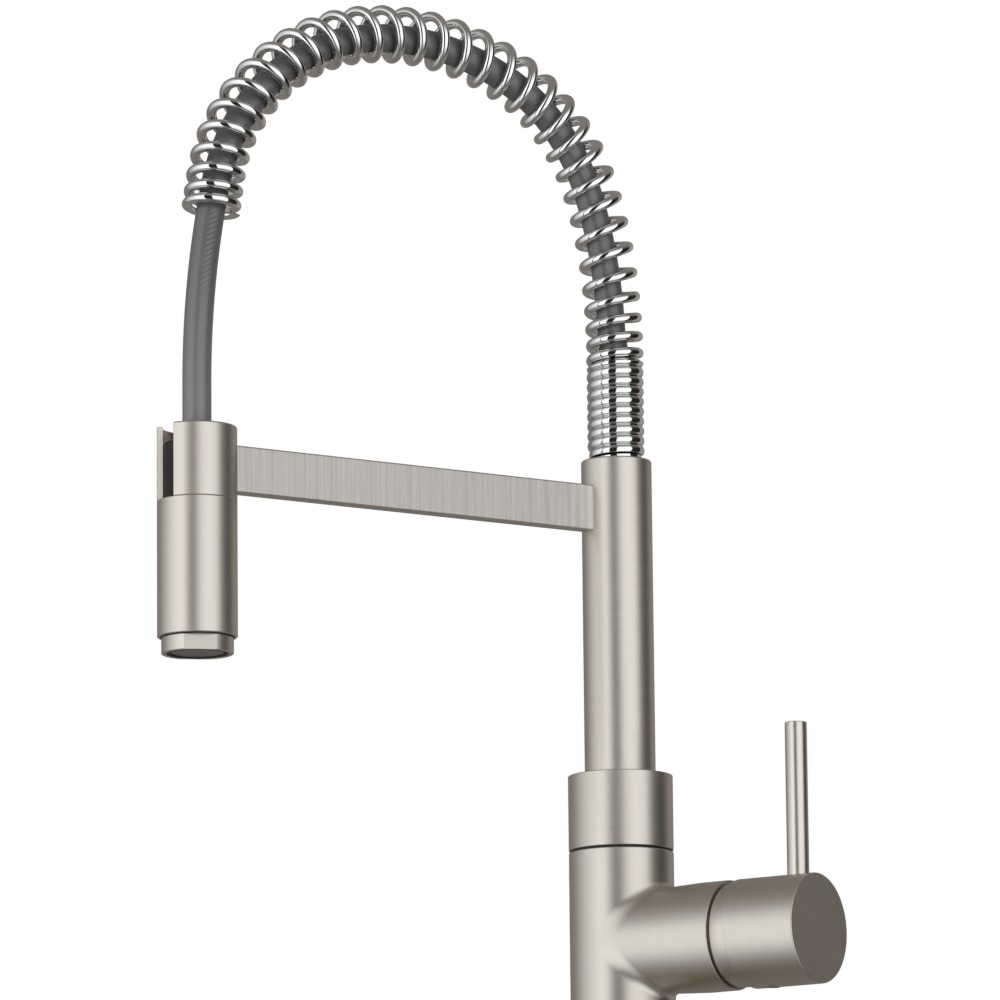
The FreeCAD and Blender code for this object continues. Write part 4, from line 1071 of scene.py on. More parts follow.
# Each pair is a share of the spring's length and the pitch there, in wire diameters
COIL_PITCHES = (
    (0.0, 1.43), (0.12, 2.52), (0.325, 2.41), (0.445, 2.7), (0.847, 2.52), (0.931, 2.07), (1.0, 1.13))
SAG_SHARES = (0.04, 0.25, 0.88) # of its length: where the sag starts, is full and is released
SAG = 1.9 * MM
SHARP = math.radians(50)        # edges that turn more than this stay sharp
spring_length = ARCH_START - GUIDE_TOP + sum(arc_lengths[:4]) + SPRING_TAIL
start_climb = START_TURN / (2 * math.pi) * COIL_PITCHES[0][1] * 2 * WIRE_RADIUS
end_climb = END_TURN / (2 * math.pi) * COIL_PITCHES[-1][1] * 2 * WIRE_RADIUS
SPRING_SIZES = {
    "Coil Radius": COIL_RADIUS, "Wire Radius": WIRE_RADIUS, "Lead": SPRING_LEAD - start_climb,
    "Length": spring_length, "Sag": SAG, "First Phase": FIRST_PHASE - START_TURN,
    "Steps": SPRING_STEPS}


def coil_pitch(share):
    """Pitch in wire diameters: the first pitch and each change from the table."""
    pitch = COIL_PITCHES[0][1]
    for (low, before), (high, after) in zip(COIL_PITCHES, COIL_PITCHES[1:]):
        pitch = pitch + share.ramp(low, high, 0.0, after - before)
    return pitch


def coil_tree(material):
    tree, size = shape_tree("arched_coil", list(SPRING_SIZES))
    line = even_line(tree, size)
    whole = Signal.node(tree, "GeometryNodeCurveLength", {}, {"Curve": line})
    travel = Signal.node(tree, "GeometryNodeSplineParameter", {}, {}, "Length")
    share = (travel + size["Lead"]) / size["Length"]
    turn = whole / (size["Steps"] - 1) / (coil_pitch(share) * size["Wire Radius"] * 2) * (2 * math.pi)
    added = Signal.node(tree, "GeometryNodeAccumulateField", {}, {"Value": turn}, "Trailing")
    phase = added + size["First Phase"]
    start, full, release = SAG_SHARES
    sag = size["Sag"] * share.step(start, full) * (1 - share).step(0, 1 - release)
    ahead = Signal.node(tree, "GeometryNodeInputTangent", {}, {})
    inside = phase.math("COSINE") * size["Coil Radius"] - sag
    inward = ahead.vector("CROSS_PRODUCT", (-1, 0, 0)).scaled(inside)
    sideways = phase.math("SINE") * size["Coil Radius"]
    spoke = inward.vector("ADD", Signal.node(tree, "ShaderNodeCombineXYZ", {}, {"X": sideways}))
    wound = Signal.node(tree, "GeometryNodeSetPosition", {}, {"Geometry": line, "Offset": spoke})
    hollow = 1 - travel.ramp(0.0, START_TIP, TIP_SHARE, 1.0)
    sockets = {"Curve": wound, "Radius": (1 - hollow * hollow).math("SQRT")}
    wound = Signal.node(tree, "GeometryNodeSetCurveRadius", {}, sockets)
    wire = tube(tree, wound, section_circle(tree, WIRE_SIDES, size["Wire Radius"]))
    end_tree(tree, ground_end(tree, wire), material)
    return tree


def ground_end(tree, wire):
    """Presses what lies past the grinding plane onto that plane, at the free end only."""
    end_way = (arch_point(spring_end) - arch_point(spring_end - NUDGE)).normalized()
    place = Signal.node(tree, "GeometryNodeInputPosition", {}, {})
    past = place.vector("SUBTRACT", tuple(arch_point(spring_end) - end_way * GRIND))
    depth = past.dot(end_way).math("MAXIMUM", 0.0) * past.length().math("LESS_THAN", GRIND_REACH)
    settings = {"operation": "SCALE"}
    back = Signal.node(tree, "ShaderNodeVectorMath", settings, {0: tuple(-end_way), "Scale": depth})
    return Signal.node(tree, "GeometryNodeSetPosition", {}, {"Geometry": wire, "Offset": back})


spring_start = GUIDE_TOP - ARCH_START + SPRING_LEAD - start_climb
spring_end = GUIDE_TOP - ARCH_START + spring_length + end_climb
spring_line = [arch_point(travel) for travel in np.linspace(spring_start, spring_end, 700)]
spring = grown("spring_coil", coil_tree(chrome), SPRING_SIZES, spring_line)
spring.data.set_sharp_from_angle(angle=SHARP)
print("spring faces:", len(spring.data.polygons))

# %% [markdown]
# ## The hose
# A smooth satin hose runs from inside the column through the spring to the spray
# head. It is a tube along the same arch, so one small tree with a round section does.
# The tree also stores how far along and on which side of the hose each point lies: the finish needs
# that for darker cross bands of colour on one side just below the spring, and for painted light, a
# paler grey where the hose hangs free below the spring, which leaves the part inside the coil darker as
# painted shade.

# %% The hose along the arch
HOSE_SIZES = {"Hose Radius": 6.5 * MM, "Steps": 420}
HOSE_SIDES = 48
HOSE_LOW = 232 * MM             # its upper end, in the column
HOSE_END = 246 * MM             # its lower end, in the spray head
HOSE_DARK = (0.125, 0.125, 0.128, 1)
HOSE_LIGHT = (0.155, 0.155, 0.158, 1)
# Painted light: a paler grey for the hose below the spring, so the part inside the coil stays darker as
# painted shade.
HOSE_PAINTED_LIGHT = (0.225, 0.225, 0.228, 1)
PAINTED_LIGHT_REACH = 120 * MM           # below the spring, where the hose hangs in more light
HOSE_ROUGHNESS = 0.38
HOSE_IOR = 1.75
HOSE_GRAIN = 900
# Darker cross bands in the hose's colour, on one side just below the spring, fading out downwards. They
# have no relief, and the ribbing that the notes below speak of is these bands.
HOSE_CROSS_BAND_TINT = (0.048, 0.048, 0.052, 1)
CROSS_BAND_DEPTH = 0.9                 # share of that colour in a rib
CROSS_BAND_PITCH = 2.5 * MM
CROSS_BAND_REACH = 48 * MM             # below the spring
CROSS_BAND_SIDE = math.radians(13)     # on the hose's section
CROSS_BAND_SECTOR = (0.945, 0.975)       # cosines of the angles from that side where ribs begin and are full
CROSS_BAND_SLANT = 4.8 * MM            # of travel for each hose radius across
CROSS_BAND_EDGE = (-0.1, 0.7)          # heights of the wave where a rib begins and is full
CROSS_BAND_START = (-2 * MM, 2 * MM)   # of travel over which the ribs appear
CROSS_BAND_FADE = 0.3                  # of their reach is left at full strength
HOSE_LEAN = 0.75 * SAG          # inwards, just above the guide
LEAN_RISE = (-2 * MM, 10 * MM)  # of travel over which the hose moves inwards


def stored(tree, geometry, kind, name, value):
    sockets = {"Geometry": geometry, "Name": name, "Value": value}
    return Signal.node(tree, "GeometryNodeStoreNamedAttribute", {"data_type": kind}, sockets)


def hose_tree(material):
    tree, size = shape_tree("hose_on_a_line", list(HOSE_SIZES))
    line = even_line(tree, size)
    travel = Signal.node(tree, "GeometryNodeSplineParameter", {}, {}, "Length")
    line = stored(tree, line, "FLOAT", "along", travel)
    section = section_circle(tree, HOSE_SIDES, size["Hose Radius"])
    place = Signal.node(tree, "GeometryNodeInputPosition", {}, {})
    section = stored(tree, section, "FLOAT_VECTOR", "spoke", place.scaled(1 / size["Hose Radius"]))
    end_tree(tree, tube(tree, line, section), material)
    return tree


def hose_finish(spring_exit):
    """Satin grey with darker cross bands on one side that fade out below the spring; paler below the
    spring as painted light, darker inside the coil as painted shade.
    """
    material, tree, shader = new_finish("hose_satin_grey", HOSE_LIGHT, 0.0, HOSE_ROUGHNESS)
    shader.inputs["IOR"].default_value = HOSE_IOR
    along, spoke = (
        Signal.node(tree, "ShaderNodeAttribute", {"attribute_name": name}, {}, output)
        for name, output in (("along", "Fac"), ("spoke", "Vector")))
    below = along - spring_exit
    facing = spoke.dot((math.cos(CROSS_BAND_SIDE), math.sin(CROSS_BAND_SIDE), 0))
    slanted_way = spoke.dot((math.sin(CROSS_BAND_SIDE), -math.cos(CROSS_BAND_SIDE), 0)) * CROSS_BAND_SLANT
    # A wave along the hose, slanted across it, sets where the darker bands lie.
    band_wave = ((below + slanted_way) / CROSS_BAND_PITCH * (2 * math.pi)).math("SINE")
    cross_bands = band_wave.step(*CROSS_BAND_EDGE) * facing.step(*CROSS_BAND_SECTOR) * below.step(*CROSS_BAND_START)
    cross_bands = cross_bands * (1 - below.step(CROSS_BAND_FADE * CROSS_BAND_REACH, CROSS_BAND_REACH))
    grains = noise(tree, object_place(tree).scaled(HOSE_GRAIN), 4.0)
    # Painted light and shade: the colour turns paler below the spring and stays darker inside the coil.
    plain = below.step(0.0, PAINTED_LIGHT_REACH).mixed(grains.mixed(HOSE_DARK, HOSE_LIGHT), HOSE_PAINTED_LIGHT)
    color = (cross_bands * CROSS_BAND_DEPTH).mixed(plain, HOSE_CROSS_BAND_TINT)
    tree.links.new(color.socket, shader.inputs["Base Color"])
    return material


def eased(value, low, high):
    """0 at low, 1 at high, and smooth between."""
    share = min(max((value - low) / (high - low), 0), 1)
    return share * share * (3 - 2 * share)


def hose_place(travel):
    """The arch's line, but just above the guide the hose already rests on the coil's inside."""
    leaning = eased(travel, *LEAN_RISE) * (1 - eased(travel / spring_length, *SAG_SHARES[:2]))
    ahead = (arch_point(travel + NUDGE) - arch_point(travel - NUDGE)).normalized()
    return arch_point(travel) + Vector((1, 0, 0)).cross(ahead) * HOSE_LEAN * leaning


hose_last = arch_length + arch_point(arch_length).z - HOSE_END
hose_line = [hose_place(travel) for travel in np.linspace(HOSE_LOW - ARCH_START, hose_last, 700)]
hose_rubber = hose_finish(spring_end - HOSE_LOW + ARCH_START)
hose = grown("hose_tube", hose_tree(hose_rubber), HOSE_SIZES, hose_line)
hose.data.set_sharp_from_angle(angle=SHARP)
print("hose shown", round((hose_last - HOSE_LOW + ARCH_START) / MM), "mm")

# %% [markdown]
# Hose and spring are baked into plain meshes in the tap's frame, and the solids they stand for are
# hidden. Two places across the arch's reach, from the column towards the spray head, are worked out and
# printed.

# %% Hose and spring as baked meshes
BLEND_SHARES = (0.2, 0.93)      # of the reach, from the column to the spray head
blend_places = [(0, -share * SPOUT_REACH, ARCH_START) for share in BLEND_SHARES]
for piece, node in ((spring, "support_spring"), (hose, "spray_hose")):
    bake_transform(piece)
    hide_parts(node)
print("blended between", [round(place[1] / MM) for place in blend_places], "mm")

# %% [markdown]
# ## The ridged guide and the thread
# The spring stands on a polished sleeve with round ridges side by side, and the shank
# below the worktop has a thread. Both are one rule. A grid's columns go round, and its
# rows climb by one pitch on the way, so each row lies on the helix and the ridge's
# section stays exact. Rows past an end are pressed flat there and welded.

# %% Helical ridges on a tube
RIDGE_LABELS = [
    "Core Radius", "Bore Radius", "Ridge Height", "Pitch", "First Height", "Bottom", "Top",
    "Top Climb", "Top Phase", "Ridge Start", "Ridge End", "Columns", "Rows"]
ROWS_PER_TURN = 24
THREAD_ROWS = (3, 11, 16)       # rows where the crest ends, and where the root begins and ends
RIDGE_FADE = 0.12               # of a pitch over which a ridge starts and ends
TOP_FADE = 0.3                  # of a pitch over which a ridge sinks below the top
RIDGE_SHARP = math.radians(32)


def round_ridges(size, share):
    """Climb and radius across one pitch: half an ellipse, so that ridges meet in a deep hollow."""
    angle = (share - 0.5) * math.pi
    climb = angle.math("SINE") * size["Pitch"] * 0.5
    return climb, size["Core Radius"] + angle.math("COSINE") * size["Ridge Height"]


def vee_thread(size, share):
    """Climb and radius across one pitch: a flat crest, two flanks and a flat root."""
    crest, root, flank = (row / ROWS_PER_TURN for row in THREAD_ROWS)
    down = share.ramp(crest, root, 0.0, size["Ridge Height"])
    up = share.ramp(flank, 1.0, 0.0, size["Ridge Height"])
    return share * size["Pitch"], size["Core Radius"] + size["Ridge Height"] - down + up


def helix_tree(name, section, material):
    tree, size = shape_tree(name, RIDGE_LABELS)
    sockets = {"Size X": 1.0, "Size Y": 1.0, "Vertices X": size["Columns"] + 1}
    grid = Signal.node(tree, "GeometryNodeMeshGrid", {}, {**sockets, "Vertices Y": size["Rows"]})
    place = Signal.node(tree, "GeometryNodeInputPosition", {}, {})
    round_share = place.dot((1, 0, 0)) + 0.5
    row = ((place.dot((0, 1, 0)) + 0.5) * (size["Rows"] - 1)).math("ROUND")
    turn = (row / ROWS_PER_TURN + 0.001).math("FLOOR")
    climb, radius = section(size, row / ROWS_PER_TURN - turn)
    middle = size["First Height"] + (turn + round_share) * size["Pitch"]
    top = size["Top"] + (round_share - size["Top Phase"]).math("FRACT") * size["Top Climb"]
    free = middle + climb
    height = free.math("MINIMUM", top).math("MAXIMUM", size["Bottom"])
    fade = size["Pitch"] * RIDGE_FADE
    shown = middle.step(size["Ridge Start"] - fade, size["Ridge Start"] + fade)
    shown = shown - middle.step(size["Ridge End"] - fade, size["Ridge End"] + fade)
    shown = shown * (top - free).step(0.0, size["Pitch"] * TOP_FADE)
    radius = size["Core Radius"] + (radius - size["Core Radius"]) * shown
    last = row.math("GREATER_THAN", size["Rows"] - 1.5)
    bore = row.math("LESS_THAN", 0.5) + row.math("GREATER_THAN", size["Rows"] - 2.5)
    radius = radius + (size["Bore Radius"] - radius) * bore
    height = height + (size["Bottom"] - height) * last
    angle = round_share * (2 * math.pi)
    sockets = {"X": radius * angle.math("COSINE"), "Y": radius * angle.math("SINE"), "Z": height}
    rolled = Signal.node(tree, "ShaderNodeCombineXYZ", {}, sockets)
    sockets = {"Geometry": grid, "Position": rolled}
    shaped = Signal.node(tree, "GeometryNodeSetPosition", {}, sockets)
    sockets = {"Geometry": shaped, "Distance": 2 * WELD}
    closed = Signal.node(tree, "GeometryNodeMergeByDistance", {}, sockets)
    end_tree(tree, closed, material)
    return tree


def ridged(name, section, material, node, sizes, helix_height):
    """A closed tube with a helix that crosses the +X side at a height."""
    lower = math.floor((sizes["Bottom"] - helix_height) / sizes["Pitch"]) - 2
    first = helix_height + lower * sizes["Pitch"]
    turns = math.ceil((sizes["Top"] + sizes["Top Climb"] - first) / sizes["Pitch"]) + 1
    sizes = {**sizes, "First Height": first, "Rows": turns * ROWS_PER_TURN + 2}
    piece = grown(name, helix_tree(name + "_rule", section, material), sizes)
    if sum(face.normal.dot(face.center) * face.area for face in piece.data.polygons) < 0:
        piece.data.flip_normals()
    piece.data.set_sharp_from_angle(angle=RIDGE_SHARP)
    seat(piece, node)
    return piece


RIDGE_PITCH = 4.61 * MM
RIDGE_HEIGHT = 1.6 * MM
RIDGE_TURNS = 10.4
RIDGE_START = column_high.z + 2.6 * MM
RIDGE_PHASE = 237 / 360         # of a turn from +X to the ridge's lower end
GUIDE_CORE = 11.55 * MM
GUIDE_COLUMNS = 180
GUIDE_DEPTH = 2 * MM            # below the column's top
NECK_RADIUS = 8.4 * MM
NECK_SINK = 1 * MM              # of the neck's foot into the sleeve
SEAT_CLIMB = 6 * MM             # of the sleeve's top, on which the wire's first turn lies
HOSE_HOLE = HOSE_SIZES["Hose Radius"] + 0.3 * MM
# Of a turn from +X to the wire's start
SPRING_SEAT = (FIRST_PHASE - START_TURN) / (2 * math.pi) + 0.75
guide = ridged("guide_sleeve", round_ridges, chrome, "spring_guide", {
    "Core Radius": GUIDE_CORE, "Bore Radius": HOSE_HOLE, "Ridge Height": RIDGE_HEIGHT,
    "Pitch": RIDGE_PITCH, "Bottom": column_high.z - GUIDE_DEPTH, "Top": GUIDE_TOP - start_climb,
    "Top Climb": SEAT_CLIMB, "Top Phase": SPRING_SEAT, "Ridge Start": RIDGE_START,
    "Ridge End": RIDGE_START + RIDGE_TURNS * RIDGE_PITCH, "Columns": GUIDE_COLUMNS},
    RIDGE_START - RIDGE_PITCH * RIDGE_PHASE)
guide_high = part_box("spring_guide")[1].z
neck_low = GUIDE_TOP - NECK_SINK
lathe("guide_neck", "spring_guide", chrome, [
    (HOSE_HOLE, neck_low, 0), (NECK_RADIUS, neck_low, 0), (NECK_RADIUS, guide_high, EDGE),
    (HOSE_HOLE, guide_high, EDGE)])
print("guide faces:", len(guide.data.polygons))

# %% [markdown]
# ## The docking arm
# A flat bar joins the column to the sleeve that holds the spray head. Its ends are
# hollowed to the two tubes, so a plain cube with a bevel would leave gaps. A rounded
# section is drawn once and each of its points runs from one tube to the other.

# %% Arm with saddle ends
ARM_EDGE = 0.9 * MM
ARM_BITE = 0.02 * MM            # into each tube
arm_low, arm_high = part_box("dock_arm")
sleeve_low, sleeve_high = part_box("dock_sleeve")
sleeve_radius = radius_of("dock_sleeve")


def arm_ends(station):
    """Where a line of the arm meets the column and the sleeve."""
    across_arm, height = station[:2]
    near = -math.sqrt((column_radius - ARM_BITE) ** 2 - across_arm ** 2)
    far = math.sqrt((sleeve_radius - ARM_BITE) ** 2 - across_arm ** 2) - SPOUT_REACH
    return Vector((across_arm, near, height)), Vector((across_arm, far, height))


def arm_faces():
    half = arm_high.x
    section = outline([(-half, arm_low.z, ARM_EDGE), (half, arm_low.z, ARM_EDGE),
                       (half, arm_high.z, ARM_EDGE), (-half, arm_high.z, ARM_EDGE)])
    faces = []
    for low, high in zip(section, section[1:] + section[:1]):
        low_way = Vector((low[3].x, 0, low[3].y))
        high_way = Vector((high[2].x, 0, high[2].y))
        low_near, low_far = [(place, low_way) for place in arm_ends(low)]
        high_near, high_far = [(place, high_way) for place in arm_ends(high)]
        faces.append([low_near, high_near, high_far, low_far])
    near_end = [(arm_ends(station)[0], ALONG_SPOUT) for station in section]
    far_end = [(arm_ends(station)[1], -ALONG_SPOUT) for station in section]
    return faces + [near_end[::-1], far_end]


shell("arm_bar", arm_faces(), nickel_arm, "dock_arm")
print("arm", round((arm_high.y - arm_low.y) / MM, 1), "mm long")

# %% [markdown]
# ## Dock sleeve and spray head
# The sleeve is a tube with a slot through which the hose is lifted out. It is turned
# like the rest, but not all the way round. The slot's outer edges are rounded by slices
# whose radius and normal follow the round, and its two ends are closed. The spray
# head's shell and its dark neck are turned on the same axis.

# %% Sleeve, spray shell and neck
SLOT_HALF = 6.9 * MM
SLOT_ROUND = 0.4 * MM
SLOT_STEPS = 7
SLEEVE_SLICES = 181
SLEEVE_WALL = 2.6 * MM
SLEEVE_EDGE = 0.9 * MM
SEAM_ROUND = 0.5 * MM
SPRAY_EDGE = 0.6 * MM
SPRAY_WALL = 2.3 * MM
SPRAY_ROOF = 5 * MM
NECK_THREAD = 13 * MM
NECK_CLEARANCE = 0.3 * MM
spray_centre = (0, -SPOUT_REACH)
spray_radius = radius_of("spray_body")


def sleeve_slices():
    """Angle, outer radius and tilt of the outward normal, from slot edge to slot edge."""
    half = math.asin(SLOT_HALF / sleeve_radius)
    edge = []
    for tilt in np.linspace(0, math.pi / 2, SLOT_STEPS):
        angle = half + SLOT_ROUND * (1 - math.cos(tilt)) / sleeve_radius
        edge.append((angle, sleeve_radius - SLOT_ROUND * (1 - math.sin(tilt)), tilt))
    last = edge[-1][0]
    angles = np.linspace(last, 2 * math.pi - last, SLEEVE_SLICES)[1:-1]
    middle = [(angle, sleeve_radius, math.pi / 2) for angle in angles]
    other = [(2 * math.pi - angle, size, math.pi - tilt) for angle, size, tilt in edge[::-1]]
    return edge + middle + other


def open_sleeve():
    bore = sleeve_radius - SLEEVE_WALL
    stations = outline([
        (bore, sleeve_low.z, HIDDEN), (sleeve_radius, sleeve_low.z, SEAM_ROUND),
        (sleeve_radius, sleeve_high.z, SLEEVE_EDGE), (bore, sleeve_high.z, EDGE)])

    def corner(station, normal, cut):
        angle, size, tilt = cut
        spoke = Vector((math.sin(angle), -math.cos(angle), 0))
        side = UP.cross(spoke)
        radius = bore + (station[0] - bore) * (size - bore) / SLEEVE_WALL
        out = spoke * math.sin(tilt) - side * math.cos(tilt) if normal.x > 0 else spoke
        place = Vector((*spray_centre, station[1])) + spoke * radius
        return place, out * normal.x + UP * normal.y

    slices = sleeve_slices()
    faces = strips(stations, slices, corner)
    for cut, order in ((slices[0], 1), (slices[-1], -1)):
        side = Vector((math.cos(cut[0]), math.sin(cut[0]), 0)) * -order
        faces.append([(corner(station, station[2], cut)[0], side) for station in stations][::order])
    return faces


shell("sleeve_shell", open_sleeve(), nickel_upright, "dock_sleeve")

spray_bore = spray_radius - SPRAY_WALL
spray_roof = spray_high.z - SPRAY_ROOF
neck_radius = sleeve_radius - SLEEVE_WALL - NECK_CLEARANCE
neck_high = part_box("spray_neck")[1].z
lathe("spray_shell", "spray_body", nickel_upright, [
    (spray_bore, spray_low.z, HIDDEN), (spray_radius, spray_low.z, SPRAY_EDGE),
    (spray_radius, spray_high.z, SEAM_ROUND), (NECK_THREAD, spray_high.z, 0),
    (NECK_THREAD, spray_roof, 0), (spray_bore, spray_roof, 0)], spray_centre)
lathe("neck_shell", "spray_neck", black_plastic, [
    (HOSE_HOLE, spray_high.z, HIDDEN), (neck_radius, spray_high.z, HIDDEN),
    (neck_radius, neck_high, EDGE), (HOSE_HOLE, neck_high, EDGE)], spray_centre)
print("spray head", round((spray_high.z - spray_low.z) / MM, 1), "mm tall")

# %% [markdown]
# ## Flats for a spanner
# The outlet ring below the spray head has two flats, and the fixing nut has six. A Boolean could cut
# them, at the price of untidy faces round the rims. Here the lathe work is trimmed while it is made: no
# point may lie outside the nearest flat. The dark line where ring and spray head meet is painted shade:
# a thin black rubber ring is set in the seam to darken it.

# %% Outlet ring, insert, seal and a painted shade ring
ring_low, ring_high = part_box("aerator_ring")
RING_RADIUS = 16.1 * MM
RING_BORE = 13.95 * MM
RING_FLAT = 14.4 * MM           # from the axis
RING_EDGE = 0.35 * MM
RING_TURN = math.radians(-26)
HAIR = 0.01 * MM
RING_SHELF = 3.3 * MM           # from the ring's lower face up to the insert's flange
INSERT_RECESS = 0.6 * MM
INSERT_EDGE = 0.4 * MM
SEAL_RECESS = 0.1 * MM
SEAL_EDGE = 0.1 * MM
# Painted shade: a thin black ring in the seam under the spray head, which darkens the line there.
SHADE_RING_HEIGHT = 0.55 * MM
SHADE_RING_RISE = 0.35 * MM         # past the ring
FACET_COLUMNS = 288


def flat_at(flats, angle):
    """The radius at which the nearest flat cuts, and that flat's direction."""
    return min((distance / max(math.cos(angle - way), 1e-6), way) for way, distance in flats)


def faceted(stations, flats, cut_below, centre=(0, 0)):
    """Faces of a closed outline turned about an upright axis and trimmed by flats."""
    origin = Vector((*centre, 0))
    angles = [2 * math.pi * column / FACET_COLUMNS for column in range(FACET_COLUMNS + 1)]
    faces = []
    for near, far in zip(angles, angles[1:]):
        limit, way = flat_at(flats, (near + far) / 2)

        def corner(station, normal, angle):
            spoke = out = Vector((math.cos(angle), math.sin(angle), 0))
            radius = station[0]
            if station[1] < cut_below:
                radius = min(radius, flat_at(flats, angle)[0])
                if station[0] > limit - HAIR:
                    out = Vector((math.cos(way), math.sin(way), 0))
                    normal = normal if abs(normal.x) < 0.01 else Vector((1, 0))
            return origin + spoke * radius + UP * station[1], out * normal.x + UP * normal.y

        for (low, high), face in zip(zip(stations, stations[1:] + stations[:1]),
                                     strips(stations, [near, far], corner)):
            ledge = low[1] < cut_below <= high[1] and low[0] > limit
            faces.append([(place, -UP) for place, normal in face] if ledge else face)
    return faces


insert_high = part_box("aerator_insert")[1].z
insert_radius = radius_of("aerator_insert")
ring_shelf = ring_low.z + RING_SHELF
ring_flat_top = spray_low.z - SHADE_RING_HEIGHT
ring_outline = outline([
    (RING_BORE, ring_low.z, HIDDEN), (RING_RADIUS, ring_low.z, RING_EDGE),
    (RING_RADIUS, ring_flat_top - HAIR, 0), (RING_RADIUS, ring_flat_top, 0),
    (RING_RADIUS, spray_low.z, 0), (spray_bore - HAIR, spray_low.z, 0),
    (spray_bore - HAIR, ring_high.z, 0), (insert_radius + HAIR, ring_high.z, 0),
    (insert_radius + HAIR, ring_shelf, 0), (RING_BORE, ring_shelf, 0)])
ring_flats = [(RING_TURN, RING_FLAT), (RING_TURN + math.pi, RING_FLAT)]
ring_faces = faceted(ring_outline, ring_flats, ring_flat_top, spray_centre)
shell("outlet_ring", ring_faces, nickel_upright, "aerator_ring")

insert_face = ring_low.z + INSERT_RECESS
lathe("outlet_insert", "aerator_insert", grey_plastic, [
    (0, insert_face, 0), (insert_radius, insert_face, INSERT_EDGE), (insert_radius, insert_high, 0),
    (0, insert_high, 0)], spray_centre, closed=False)

seal_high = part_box("aerator_seal")[1].z
seal_low = ring_low.z + SEAL_RECESS
seal_radius = RING_BORE - HAIR
seal_bore = insert_radius + HAIR
lathe("outlet_seal", "aerator_seal", rubber, [
    (seal_bore, seal_low, SEAL_EDGE), (seal_radius, seal_low, SEAL_EDGE), (seal_radius, seal_high, 0),
    (seal_bore, seal_high, 0)], spray_centre)
# Painted shade: the thin black ring in the seam between outlet ring and spray head.
shade_ring_bore = RING_RADIUS - SHADE_RING_RISE
shade_ring_radius = RING_RADIUS + SHADE_RING_RISE
shade_ring_high = spray_low.z + HAIR
lathe("outlet_painted_shade_ring", "aerator_seal", rubber, [
    (shade_ring_bore, ring_flat_top, 0), (shade_ring_radius, ring_flat_top, SEAL_EDGE),
    (shade_ring_radius, shade_ring_high, 0), (shade_ring_bore, shade_ring_high, 0)], spray_centre)
print("outlet insert radius", round(insert_radius / MM, 2), "mm")

# %% [markdown]
# ## Below the worktop
# The picture ends above the base, but the tap doesn't: a base ring, a threaded shank,
# two washers and a nut hold it on the worktop. They get the same rounded edges, and
# the shank's thread comes from the tree that made the ridged guide.

# %% Base, washers, nut and threaded shank
shank_low, shank_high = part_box("mounting_shank")
shank_radius = radius_of("mounting_shank")
shank_finish = SLOT_FINISH[node_slot["mounting_shank"]]
SHANK_BORE = 13 * MM
SHANK_CREST = 16 * MM
SHANK_NECK = 12 * MM
THREAD_PITCH = 1.5 * MM
THREAD_DEPTH = 0.92 * MM
THREAD_COLUMNS = 90
BASE_CHAMFER = 0.8 * MM
WASHER_CLEARANCE = 0.3 * MM
STEEL_EDGE = 0.3 * MM
RUBBER_EDGE = 0.6 * MM
NUT_COLLAR = 2 * MM
NUT_CHAMFER = 1.6 * MM


def washer(name, node, bore, edge, chamfer=0):
    """A flat ring that fills a solid's box, with rounded or chamfered edges."""
    low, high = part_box(node)
    radius = radius_of(node)
    corners = [(bore, low.z, HIDDEN), (radius, low.z, edge), (radius, high.z - chamfer, edge)]
    corners += [(radius - chamfer, high.z, HIDDEN)] if chamfer else []
    lathe(name, node, SLOT_FINISH[node_slot[node]], corners + [(bore, high.z, HIDDEN)])


thread_clear = SHANK_CREST + FIT
washer("base_plate", "base_ring", thread_clear, STEEL_EDGE, BASE_CHAMFER)
washer("washer_rubber", "rubber_washer", shank_radius + WASHER_CLEARANCE, RUBBER_EDGE)
washer("washer_steel", "clamp_washer", shank_radius + WASHER_CLEARANCE, STEEL_EDGE)

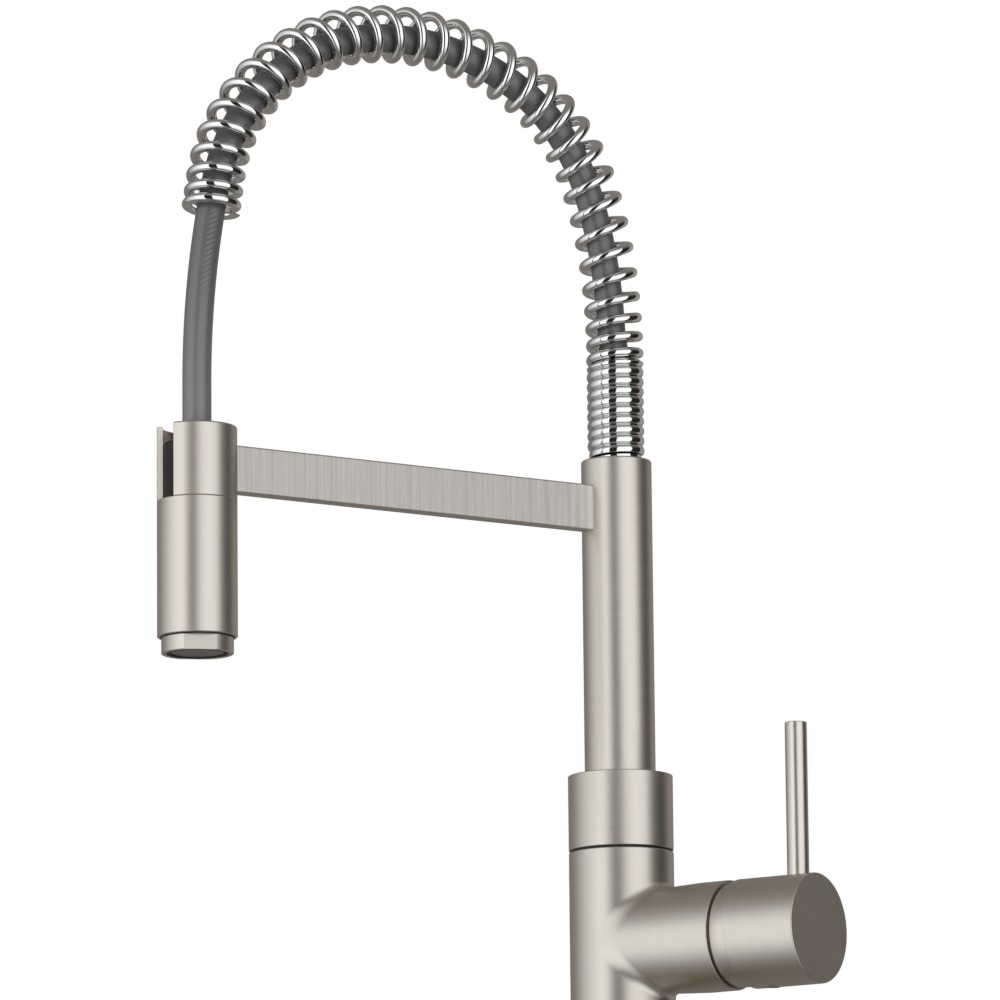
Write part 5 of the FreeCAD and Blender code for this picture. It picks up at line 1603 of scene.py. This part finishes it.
nut_low, nut_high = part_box("fixing_nut")
nut_corner = radius_of("fixing_nut")
nut_flat = (nut_high.y - nut_low.y) / 2
nut_collar = nut_high.z - NUT_COLLAR
nut_outline = outline([
    (thread_clear, nut_low.z, STEEL_EDGE), (nut_flat, nut_low.z, HIDDEN),
    (nut_corner, nut_low.z + NUT_CHAMFER, 0), (nut_corner, nut_collar, 0), (nut_flat, nut_collar, 0),
    (nut_flat, nut_high.z, STEEL_EDGE), (thread_clear, nut_high.z, STEEL_EDGE)])
nut_flats = [(math.pi / 6 + math.pi / 3 * side, nut_flat) for side in range(6)]
nut_faces = faceted(nut_outline, nut_flats, nut_high.z)
shell("nut_hexagon", nut_faces, SLOT_FINISH[node_slot["fixing_nut"]], "fixing_nut")

ridged("shank_thread", vee_thread, shank_finish, "mounting_shank", {
    "Core Radius": SHANK_CREST - THREAD_DEPTH, "Bore Radius": SHANK_BORE,
    "Ridge Height": THREAD_DEPTH, "Pitch": THREAD_PITCH, "Bottom": shank_low.z, "Top": -SHANK_NECK,
    "Top Climb": 0, "Top Phase": 0, "Ridge Start": shank_low.z + 0.5 * THREAD_PITCH,
    "Ridge End": -SHANK_NECK - THREAD_PITCH, "Columns": THREAD_COLUMNS}, 0.0)
lathe("shank_neck", "mounting_shank", shank_finish, [
    (SHANK_BORE, -SHANK_NECK, 0), (shank_radius, -SHANK_NECK, EDGE), (shank_radius, 0, 0),
    (SHANK_CREST, 0, 0), (SHANK_CREST, shank_high.z, 0), (SHANK_BORE, shank_high.z, 0)])
print("nut", round(2 * nut_flat / MM, 1), "mm across flats")

# %% [markdown]
# ## Stage
# A round pale floor stands under the lowest point of the tap, well below the picture.
# The metal doesn't mirror it: in the picture the undersides look down into darkness.
# The room is dim, so a little glow of its own keeps the floor pale.

# %% Floor
FLOOR_RADIUS = 0.7
FLOOR_SIDES = 96
FLOOR_GAP = 0.5 * MM            # below the tap
FLOOR_GLOW = 0.4


def pale_floor():
    height = cad_box[0].z - FLOOR_GAP
    rim = []
    for angle in np.linspace(0, 2 * math.pi, FLOOR_SIDES, endpoint=False):
        rim.append(Vector((FLOOR_RADIUS * math.cos(angle), FLOOR_RADIUS * math.sin(angle), height)))
    paint = speckled("floor_pale", (0.84, 0.84, 0.83), (0.90, 0.90, 0.89), 0.0, 0.7, 20)
    shader = paint.node_tree.nodes["Principled BSDF"]
    shader.inputs["Emission Color"].default_value = WHITE
    shader.inputs["Emission Strength"].default_value = FLOOR_GLOW
    floor = shell("floor", [[(place, UP) for place in rim]], paint)
    floor.visible_glossy = False
    floor.visible_diffuse = False


pale_floor()
print("floor radius", FLOOR_RADIUS, "m")
